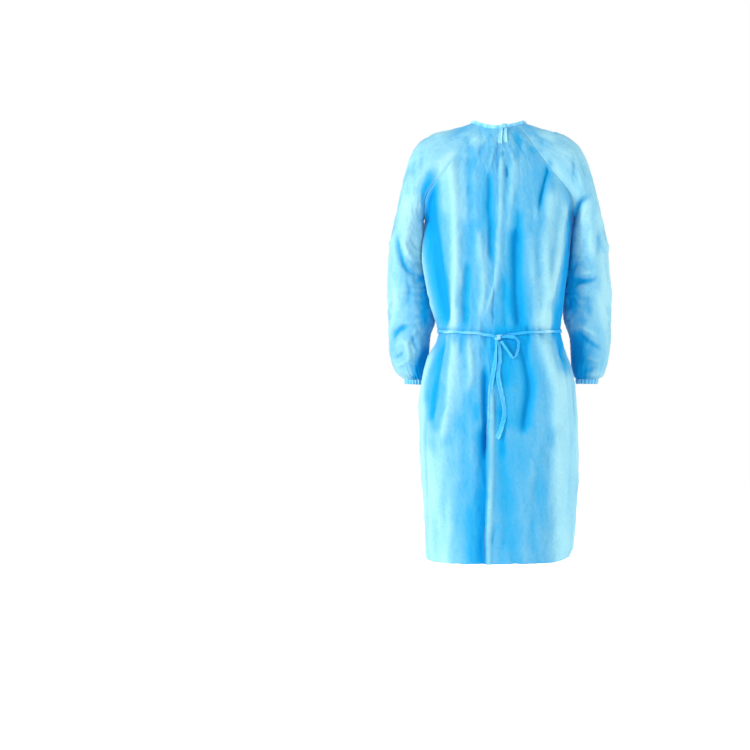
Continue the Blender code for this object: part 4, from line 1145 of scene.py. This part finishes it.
attrs = cloth_attrs(back.across[:, :UNDER_END + 1], back.down[:, :UNDER_END + 1],
                    back.to_seam[:, :UNDER_END + 1], back.tone[:, :UNDER_END + 1])
back_left = shell("back_panel_left_cloth", under_grid, SHELL, attrs)
piece(back_left, body_cloth, "body_cloth", "back_panel_left")
attrs = cloth_attrs(back.across[:, MIDDLE:], back.down[:, MIDDLE:],
                    back.to_seam[:, MIDDLE:], back.tone[:, MIDDLE:])
back_right = shell("back_panel_right_cloth", outer_grid, SHELL, attrs)
piece(back_right, body_cloth, "body_cloth", "back_panel_right")

# --------------------------------------------------------------- the sleeves
sleeves, sleeve_objs = {}, {}
for side, word in ((+1, "left"), (-1, "right")):
    sl = Sleeve(side)
    h, large = sleeve_heights(sl)
    relief = seam_form(sl.to_seam, sl.down, 65 + side)
    normals = normals_of(sl.base)
    tube = sl.v > 1.0
    mean = normals[tube, 0] + normals[tube, -1]
    mean /= np.linalg.norm(mean, axis=-1, keepdims=True)
    normals[tube, 0] = mean
    normals[tube, -1] = mean
    sl.moved = sl.base + normals * (h + relief)[..., None]
    open_rows = smooth((1.0 - sl.v) / 0.10)
    for end, first in ((0, 1), (-1, -2)):
        toward = sl.base[:, end] - sl.base[:, 3 if end == 0 else -4]
        toward /= np.maximum(np.linalg.norm(toward, axis=-1, keepdims=True), 1e-9)
        for col, share in ((end, 1.0), (first, 0.55)):
            sl.moved[:, col] += (toward * (1.8 * share * open_rows)[:, None]
                                 - normals[:, col] * (0.9 * share * open_rows)[:, None])
    # painted light and mottle of the sleeve, from its shade field
    sl.tone = painted_light_and_mottle_of(sl.shade, h - large)
    sleeves[side] = sl
    sleeve_objs[side] = shell("sleeve_%s_cloth" % word, sl.moved, SHELL,
                              cloth_attrs(sl.across, sl.down, sl.to_seam, sl.tone))
    piece(sleeve_objs[side], sleeve_cloth, "sleeve_cloth", "sleeve_" + word)

# -------------------------------------------------- elastic sleeve ends
cuffs = {}
for side, word in ((+1, "left"), (-1, "right")):
    table = ARM_LEFT if side > 0 else ARM_RIGHT
    q = table.at(np.array([2.0]))
    outer = np.array([q["ox"][0], q["cy"][0], q["oz"][0]])
    inner = np.array([q["mx"][0], q["cy"][0], q["mz"][0]])
    out = (outer - inner) / 2.0
    centre = outer - out
    depth = np.array([0.0, q["d"][0], 0.0])
    count = 200
    angle = np.linspace(0.0, 2.0 * math.pi, count, endpoint=False) * side
    rows = 15
    t = np.linspace(0.0, 1.0, rows)
    fold = pleats(angle, side)
    ring = centre[None] + out[None] * np.cos(angle)[:, None] + depth[None] * np.sin(angle)[:, None]
    away = ring - centre
    away[:, 2] = 0.0
    away /= np.linalg.norm(away, axis=-1, keepdims=True)
    grid = np.zeros((rows, count, 3))
    for j, u in enumerate(t):
        bulge = 1.5 * math.sin(math.pi * min(u / 0.8, 1.0)) ** 0.8 - 1.0 * math.exp(-((u - 0.82) / 0.09) ** 2)
        ruffle = 1.9 * (1.0 - 0.35 * math.sin(math.pi * min(u / 0.8, 1.0))) + 1.1 * max(u - 0.8, 0.0) / 0.2
        grid[j] = ring + away * (fold[:, None] * ruffle + bulge - 0.3)
        grid[j, :, 2] = ring[:, 2] - 0.5 - CUFF_LENGTH * 1.08 * u
    grid[..., 0] *= side
    across = np.broadcast_to(np.abs(angle)[None] * 28.0, grid.shape[:2])
    down = np.broadcast_to((t * CUFF_LENGTH)[:, None], grid.shape[:2])
    # painted light: the pleats' ridges paler, their troughs deeper
    tone = np.clip(0.6 * fold[None] * np.ones((rows, 1)), -1.0, 1.0)
    cuffs[side] = shell("cuff_%s_cloth" % word, grid, 0.8, cloth_attrs(across, down, down * 0 + 60, tone), closed=True)
    piece(cuffs[side], edge_cloth, "elastic_edge", "cuff_" + word)


# ------------------------------------------------------------------- straps
def resample(points, step):
    """Points at even steps along a line."""
    p = np.asarray(points, float)
    run = np.concatenate([[0.0], np.cumsum(np.linalg.norm(np.diff(p, axis=0), axis=-1))])
    n = max(int(run[-1] / step), 4)
    at = np.linspace(0.0, run[-1], n + 1)
    return np.stack([np.interp(at, run, p[:, k]) for k in range(3)], -1), at, run


def blur(a, n, closed=False):
    if n < 2:
        return a
    kernel = np.hanning(n + 2)[1:-1]
    kernel /= kernel.sum()
    pad = n // 2
    ext = np.pad(a, ((pad, n - 1 - pad), (0, 0)), mode="wrap" if closed else "edge")
    return np.stack([np.convolve(ext[:, k], kernel, mode="valid") for k in range(a.shape[1])], -1)


def strap(name, line, facing, width, seed, thick=1.3, crumpled=1.0, ground=0.25):
    """A folded strip of cloth along a line of points.  facing is the way its
    flat side looks at each point; width is one number or one for each, and so
    is ground, the painted light that the strip takes from what it lies on."""
    n = len(line)
    along = np.gradient(line, axis=0)
    along /= np.maximum(np.linalg.norm(along, axis=-1, keepdims=True), 1e-9)
    facing = facing - along * np.sum(facing * along, -1, keepdims=True)
    facing /= np.maximum(np.linalg.norm(facing, axis=-1, keepdims=True), 1e-9)
    across = np.cross(along, facing)
    run = np.concatenate([[0.0], np.cumsum(np.linalg.norm(np.diff(line, axis=0), axis=-1))])
    width = np.broadcast_to(np.asarray(width, float), (n,)).copy()
    width *= 1.0 + 0.10 * wave_noise(run, run * 0, seed, 40.0, 40.0, 2) * crumpled
    k = 9
    u = np.linspace(-1.0, 1.0, k)
    u = np.sign(u) * np.abs(u) ** 0.85
    curl = crumpled * (0.9 * wave_noise(run, run * 0, seed + 1, 55.0, 55.0, 2))
    vee = crumpled * (0.8 + 0.6 * wave_noise(run, run * 0, seed + 2, 70.0, 70.0, 2))
    ripple = crumpled * 0.45
    lift = (curl[:, None] * u[None] * 1.3 + vee[:, None] * (np.abs(u)[None] - 0.45) * 1.2
            + ripple * wave_noise(run[:, None] + 0 * u[None], 5.0 * u[None] + 0 * run[:, None], seed + 3, 14.0, 9.0, 2))
    body = thick / 2.0 * np.sqrt(np.maximum(1.0 - np.abs(u) ** 6, 0.02))[None] * np.ones((n, 1))
    centre = line[:, None] + across[:, None] * (u[None] * width[:, None] / 2.0)[..., None]
    front_side = centre + facing[:, None] * (lift + body)[..., None]
    back_side = centre + facing[:, None] * (lift - body)[..., None]
    ring = np.concatenate([front_side, back_side[:, ::-1]], axis=1)
    cols = ring.shape[1]
    verts = ring.reshape(-1, 3) * MM
    j, i = np.meshgrid(np.arange(n - 1), np.arange(cols), indexing="ij")
    m = (i + 1) % cols
    faces = np.stack([j * cols + i, j * cols + m, (j + 1) * cols + m, (j + 1) * cols + i], -1).reshape(-1, 4).tolist()
    for base, flip in ((0, True), ((n - 1) * cols, False)):
        for c in range(k - 1):
            cap = [base + c, base + c + 1, base + cols - 2 - c, base + cols - 1 - c]
            faces.append(cap if flip else cap[::-1])
    mesh = bpy.data.meshes.new(name)
    mesh.from_pydata(verts.tolist(), [], faces)
    mesh.validate()
    mesh.update()
    # faces out: compare the closed volume's sign
    co = verts[np.array([f[:3] for f in faces if len(f) > 2])]
    tri = np.array(faces)
    vol = 0.0
    for a, b, c in ((0, 1, 2), (0, 2, 3)):
        p, q, r = verts[tri[:, a]], verts[tri[:, b]], verts[tri[:, c]]
        vol += np.sum(p * np.cross(q, r))
    if vol < 0:
        mesh.flip_normals()
    mesh.shade_smooth()
    side_u = np.concatenate([u, u[::-1]])
    ground = np.broadcast_to(np.asarray(ground, float), (n,))[:, None]
    # painted light: paler where the strip's folds lift, deeper where they sink, over the painted light of what it lies
    # on
    tone = np.clip(np.concatenate([lift, lift[:, ::-1]], axis=1) * 0.28 + ground, -1.0, 1.0)
    att = mesh.attributes.new("tone", "FLOAT", "POINT")
    att.data.foreach_set("value", tone.ravel())
    vec = np.stack([side_u[None] * width[:, None] / 2.0, run[:, None] + 0 * side_u[None],
                    60.0 + 0 * side_u[None] * run[:, None]], -1)
    att = mesh.attributes.new("cloth", "FLOAT_VECTOR", "POINT")
    att.data.foreach_set("vector", vec.ravel())
    obj = bpy.data.objects.new(name, mesh)
    bpy.context.scene.collection.objects.link(obj)
    return obj, run[-1]


# The belt lies on the cloth, pulled straight over the small troughs.
def fine_point(body, f, z):
    """Point of the displaced cloth at side fraction f and height z, and the
    cloth's painted light there."""
    lv = 1.0 + (ARMPIT_Z - z) / 1000.0
    j = np.clip(np.searchsorted(LEVELS, lv) - 1, 0, len(LEVELS) - 2)
    w = (lv - LEVELS[j]) / (LEVELS[j + 1] - LEVELS[j])
    out = []
    for row, weight in ((j, 1.0 - w), (j + 1, w)):
        fr = body.f[row]
        order = np.argsort(fr)
        out.append(weight * np.array([np.interp(f, fr[order], column) for column in (
            *body.moved[row, order].T, body.tone[row, order])]))
    total = out[0] + out[1]
    return total[:3], total[3]


belt_s = np.linspace(0.02, 3.98, 420)
belt_line, belt_ground = [], []
for s in belt_s:
    z = float(BELT_LINE.at(s)["z"])
    if s <= 1.0:
        p, ground = fine_point(back, s, z)
    elif s <= 2.0:
        p, ground = fine_point(front, 2.0 - s, z)
    elif s <= 3.0:
        p, ground = fine_point(front, -(s - 2.0), z)
    else:
        p, ground = fine_point(back, -(4.0 - s), z)
    belt_line.append(p)
    belt_ground.append(ground)
belt_line = np.array(belt_line)
centre = np.array([0.0, -5.0])
radial = belt_line[:, :2] - centre
dist = np.linalg.norm(radial, axis=-1)
pad = 10
hull = np.array([dist[max(i - pad, 0):i + pad + 1].max() for i in range(len(dist))])
dist2 = blur((0.55 * hull + 0.45 * dist)[:, None], 17)[:, 0]
dist2 = np.maximum(dist2, dist - 0.4) + 3.6
belt_line[:, :2] = centre + radial / dist[:, None] * dist2[:, None]
belt_line = blur(belt_line, 9)
belt_line[:, 2] += 1.2 * wave_noise(belt_s * 200.0, belt_s * 0, 91, 150.0, 150.0, 2)
belt_pts, _, _ = resample(belt_line, 3.2)
tangent = np.gradient(belt_pts, axis=0)
facing = np.cross(tangent, np.array([0.0, 0.0, 1.0]))
outward = np.concatenate([belt_pts[:, :2] - centre, np.zeros((len(belt_pts), 1))], 1)
facing *= np.sign(np.sum(facing * outward, -1, keepdims=True))
facing /= np.linalg.norm(facing, axis=-1, keepdims=True)
run_b = np.arange(len(belt_pts)) * 3.2
tilt = np.radians(16.0 * wave_noise(run_b, run_b * 0, 93, 190.0, 190.0, 2))
facing = facing * np.cos(tilt)[:, None] + np.array([0.0, 0.0, 1.0]) * np.sin(tilt)[:, None]
belt_u = np.linspace(0.0, 4.0, len(belt_pts))
belt_wide = 6.6 + 4.4 * smooth((1.25 - np.abs(belt_u - 2.0)) / 0.5)
belt_ground = np.interp(belt_u, belt_s, blur(np.array(belt_ground)[:, None], 9)[:, 0])
# the belt takes the painted light of the cloth beneath, a little paler
belt, belt_len = strap("belt_strap", belt_pts, facing, belt_wide, 101, thick=1.1,
                       ground=0.75 * belt_ground + 0.16)
piece(belt, tie_cloth, "tie_cloth", "belt")


def on_back(x, z, what=None):
    """Depth y of the outer cloth behind (x, z), or its painted light there."""
    lv = np.interp(-z, -back.moved[:, MIDDLE, 2], np.arange(len(LEVELS)))
    j = int(np.clip(lv, 0, len(LEVELS) - 1))
    row = back.moved[j]
    order = np.argsort(row[:, 0])
    if what is not None:
        return float(np.interp(x, row[order, 0], what[j, order]))
    return float(np.interp(x, row[order, 0], row[order, 1])) + LAP_OFFSET


def tie_line(rows, step=2.4):
    """Smooth line and facing from rows of x, z, stand-off, width, turn."""
    t = Table("t x z off width turn", [(k, *r) for k, r in enumerate(rows)])
    at = t.at(np.linspace(0, len(rows) - 1, 30 * (len(rows) - 1)))
    y = np.array([on_back(x, z) for x, z in zip(at["x"], at["z"])]) + at["off"]
    raw = blur(np.stack([at["x"], y, at["z"]], -1), 7)
    pts, at_run, run = resample(raw, step)
    width = np.interp(at_run, run, at["width"])
    turn = np.radians(np.interp(at_run, run, at["turn"]))
    along = np.gradient(pts, axis=0)
    along /= np.linalg.norm(along, axis=-1, keepdims=True)
    across = np.cross(along, np.array([0.0, 1.0, 0.0]))
    across /= np.maximum(np.linalg.norm(across, axis=-1, keepdims=True), 1e-6)
    lift = np.cross(across, along)
    face = lift * np.cos(turn)[:, None] - across * np.sin(turn)[:, None]
    return pts, face, width


TIES = {
    "belt_loop": (103, (
        (-4, -546, 9, 7, 40), (-26, -545, 11, 9, 38), (-45, -550, 12, 10, 44), (-50, -570, 10, 10, 52),
        (-39, -598, 7, 9, 60), (-24, -581, 8, 9, 42), (-6, -555, 10, 7, 36))),
    "belt_tail_long": (105, (
        (-1, -556, 7, 7, 30), (-4, -598, 5, 9, 20), (1, -645, 4, 11, 8), (-10, -700, 5, 13, 26),
        (-15, -738, 5, 13, 22), (-6, -778, 4, 13, -10), (4, -803, 4, 14, -15))),
    "belt_tail_short": (107, (
        (5, -554, 7, 7, -30), (9, -612, 5, 10, -24), (20, -680, 4, 11, 14), (21, -757, 4, 12, 2))),
    "neck_tie_left": (109, (
        (-8, -6, 6, 7, 0), (-5, -27, 4, 9, 10), (-4, -52, 3.5, 10, 0))),
    "neck_tie_right": (111, (
        (-18, -6, 6, 7, 0), (-17, -26, 4, 9, -10), (-18, -49, 3.5, 10, 2))),
}
tie_objs, tie_lens, tie_widths = {}, {}, {}
for key, (seed, rows) in TIES.items():
    pts, face, width = tie_line(rows)
    tie_widths[key] = float(width.mean())
    # each tie takes the painted light of the cloth beneath, the neck ties paler than the belt's
    ground = np.array([on_back(x, z, back.tone) for x, z in pts[:, (0, 2)]])
    ground = blur(ground[:, None], 15)[:, 0]
    obj, length = strap(key + "_strap", pts, face, width, seed, thick=1.2, crumpled=0.9,
                        ground=0.6 * ground + (0.06 if key.startswith("belt") else 0.30))
    piece(obj, tie_cloth, "tie_cloth", key)
    tie_objs[key], tie_lens[key] = obj, length


def knot(name, centre, size, seed, node):
    """A pulled-tight knot: one strip wound twice over the crossing straps."""
    turns = 1.9
    t = np.linspace(0.0, 1.0, 90)
    a = 2.0 * math.pi * turns * t + 0.6
    line = np.stack([
        centre[0] + size[0] * 0.62 * (2.0 * t - 1.0) + size[0] * 0.22 * np.sin(a * 0.5),
        centre[1] + size[1] * np.cos(a),
        centre[2] + size[2] * np.sin(a)], -1)
    face = np.stack([0.15 * np.sin(a), np.cos(a) / size[1] * 5.0, np.sin(a) / size[2] * 5.0], -1)
    obj, length = strap(name, line, face, size[0] * 1.05, seed, thick=1.6, crumpled=0.8)
    piece(obj, tie_cloth, "tie_cloth", node)
    return obj, length


belt_knot, belt_knot_len = knot("belt_knot_strap", (0.0, on_back(0, -548) + 8.0, -547.0), (9.0, 5.0, 6.6), 121,
                                "belt_knot")
neck_knot, neck_knot_len = knot("neck_knot_strap", (-13.0, on_back(-13, -12) + 6.5, -4.0), (8.0, 4.2, 4.8), 123,
                                "neck_knot")


# ------------------------------------------------------------ neck binding
def top_edge():
    """Upper edge of the panels, and the points below, round the neck."""
    a, b = [], []

    def take(grid, idx):
        for i in idx:
            a.append(grid[0, i])
            b.append(grid[4, i])

    take(under_grid, range(under_grid.shape[1] - 1, -1, -1))
    g = sleeves[+1].moved
    take(g, range(g.shape[1] - 3, 1, -1))
    take(front.moved, range(front.moved.shape[1] - 1, -1, -1))
    g = sleeves[-1].moved
    take(g, range(g.shape[1] - 3, 1, -1))
    take(outer_grid, range(outer_grid.shape[1] - 1, -1, -1))
    return np.array(a), np.array(b)


edge_pts, below_pts = top_edge()
keep = np.concatenate([[True], np.linalg.norm(np.diff(edge_pts, axis=0), axis=-1) > 0.25])
edge_pts, below_pts = edge_pts[keep], below_pts[keep]
line, at_run, run = resample(edge_pts, 2.6)
below = np.stack([np.interp(at_run, run, below_pts[:, k]) for k in range(3)], -1)
line, below = blur(line, 7), blur(below, 7)
up = line - below
up /= np.linalg.norm(up, axis=-1, keepdims=True)
up = up * 0.45 + np.array([0.0, 0.0, 1.0]) * 0.55
up /= np.linalg.norm(up, axis=-1, keepdims=True)
away = np.cross(np.gradient(line, axis=0), up)
away *= np.sign(np.sum(away * (line - np.array([0.0, 0.0, 0.0])), -1, keepdims=True))
away /= np.linalg.norm(away, axis=-1, keepdims=True)
run_e = at_run
ripple = wave_noise(run_e, run_e * 0, 131, 30.0, 30.0, 3)
tilt = 0.9 * wave_noise(run_e, run_e * 0, 133, 120.0, 120.0, 2)
profile = []
BIND = 10.0
for k in range(24):
    a = 2.0 * math.pi * k / 24
    # a folded tape: a flat loop, fuller at its lower edge
    x = 1.15 * math.cos(a) * (1.0 if abs(math.cos(a)) < 0.999 else 1.0)
    y = math.sin(a)
    y = math.copysign(abs(y) ** 0.6, y)
    profile.append((math.copysign(abs(math.cos(a)) ** 0.7, math.cos(a)) * 1.1, y))
rows = []
for k, (x, y) in enumerate(profile):
    hgt = BIND * 0.5 * (y + 1.0) - 1.2
    push = x + 0.55 * ripple * (0.4 + 0.6 * (y + 1) / 2) + tilt * (y + 1) / 2 + 0.35 * math.exp(-((y + 0.62) / 0.16) ** 2) * (-1 if x > 0 else 1)
    rows.append(line + up * (hgt + 0.5 * wave_noise(run_e, run_e * 0, 135, 45.0, 45.0, 2)[:, None] * (y + 1) / 2)
                + away * push[:, None])
ring = np.stack(rows, 1)
n, cols = ring.shape[:2]
j, i = np.meshgrid(np.arange(n - 1), np.arange(cols), indexing="ij")
m = (i + 1) % cols
faces = np.stack([j * cols + i, j * cols + m, (j + 1) * cols + m, (j + 1) * cols + i], -1).reshape(-1, 4)
verts = ring.reshape(-1, 3) * MM
vol = 0.0
for a, b, c in ((0, 1, 2), (0, 2, 3)):
    vol += np.sum(verts[faces[:, a]] * np.cross(verts[faces[:, b]], verts[faces[:, c]]))
faces = faces.tolist() + [list(range(cols))[::-1], list(range((n - 1) * cols, n * cols))]
mesh = bpy.data.meshes.new("neck_binding_tape")
mesh.from_pydata(verts.tolist(), [], faces)
mesh.validate()
if vol < 0:
    mesh.flip_normals()
mesh.shade_smooth()
att = mesh.attributes.new("tone", "FLOAT", "POINT")
# painted light: paler towards the tape's top and on its outward ripples, deeper at its lower edge
tone = np.clip(0.22 + np.array([0.25 * y for x, y in profile])[None] + 0.35 * ripple[:, None], -1, 1)
att.data.foreach_set("value", tone.ravel())
att = mesh.attributes.new("cloth", "FLOAT_VECTOR", "POINT")
vec = np.stack([np.array([y * 5.0 for x, y in profile])[None] + 0 * run_e[:, None],
                run_e[:, None] + np.zeros((1, cols)), 60.0 + np.zeros((n, cols))], -1)
att.data.foreach_set("vector", vec.ravel())
binding = bpy.data.objects.new("neck_binding_tape", mesh)
bpy.context.scene.collection.objects.link(binding)
piece(binding, binding_cloth, "binding", "neck_binding")

# ------------------------------------------------------- floor, light, world
AMBIENT = 0.79          # of the white surroundings, as the cloth sees them
world = bpy.data.worlds.new("world")
bpy.context.scene.world = world
world.use_nodes = True
sky = world.node_tree.nodes["Background"]
sky.inputs[0].default_value = (1.0, 1.0, 1.0, 1.0)
path = world.node_tree.nodes.new("ShaderNodeLightPath")
level = world.node_tree.nodes.new("ShaderNodeMapRange")
level.inputs["To Min"].default_value = AMBIENT
level.inputs["To Max"].default_value = 1.0
world.node_tree.links.new(path.outputs["Is Camera Ray"], level.inputs["Value"])
world.node_tree.links.new(level.outputs["Result"], sky.inputs[1])

floor_mat = bpy.data.materials.new("floor_paper")
floor_mat.use_nodes = True
fb = floor_mat.node_tree.nodes["Principled BSDF"]
fb.inputs["Roughness"].default_value = 0.9
fb.inputs["Specular IOR Level"].default_value = 0.1
grain = floor_mat.node_tree.nodes.new("ShaderNodeTexNoise")
grain.inputs["Scale"].default_value = 40.0
tint = floor_mat.node_tree.nodes.new("ShaderNodeValToRGB")
tint.color_ramp.elements[0].color = (0.95, 0.955, 0.96, 1.0)
tint.color_ramp.elements[1].color = (0.98, 0.98, 0.98, 1.0)
floor_mat.node_tree.links.new(grain.outputs["Fac"], tint.inputs[0])
floor_mat.node_tree.links.new(tint.outputs[0], fb.inputs["Base Color"])
path = floor_mat.node_tree.nodes.new("ShaderNodeLightPath")
level = floor_mat.node_tree.nodes.new("ShaderNodeMath")
level.operation = "MULTIPLY"
level.inputs[1].default_value = 0.7
floor_mat.node_tree.links.new(path.outputs["Is Camera Ray"], level.inputs[0])
floor_mat.node_tree.links.new(level.outputs[0], fb.inputs["Emission Strength"])
fb.inputs["Emission Color"].default_value = (1.0, 1.0, 1.0, 1.0)
mesh = bpy.data.meshes.new("floor")
ring_n, radius = 64, 9.0
pts = [(radius * math.cos(2 * math.pi * k / ring_n), radius * math.sin(2 * math.pi * k / ring_n), -1.52)
       for k in range(ring_n)]
mesh.from_pydata(pts, [], [list(range(ring_n))])
mesh.materials.append(floor_mat)
floor = bpy.data.objects.new("floor", mesh)
bpy.context.scene.collection.objects.link(floor)


def area_light(name, place, target, size, power, colour=(1.0, 1.0, 1.0)):
    data = bpy.data.lights.new(name, "AREA")
    data.shape = "RECTANGLE"
    data.size, data.size_y = size
    data.energy = power
    data.color = colour
    obj = bpy.data.objects.new(name, data)
    bpy.context.scene.collection.objects.link(obj)
    obj.location = place
    aim = Vector(target) - Vector(place)
    obj.rotation_euler = aim.to_track_quat("-Z", "Y").to_euler()
    return obj


area_light("key", (3.3, 2.6, 0.4), (0.0, 0.0, -0.55), (1.4, 2.2), 125.0)
area_light("rim", (-3.8, 0.4, -0.1), (0.0, 0.0, -0.6), (1.4, 2.2), 48.0)
area_light("front_fill", (-0.6, 4.6, -0.2), (0.0, 0.0, -0.6), (2.0, 2.0), 20.0)
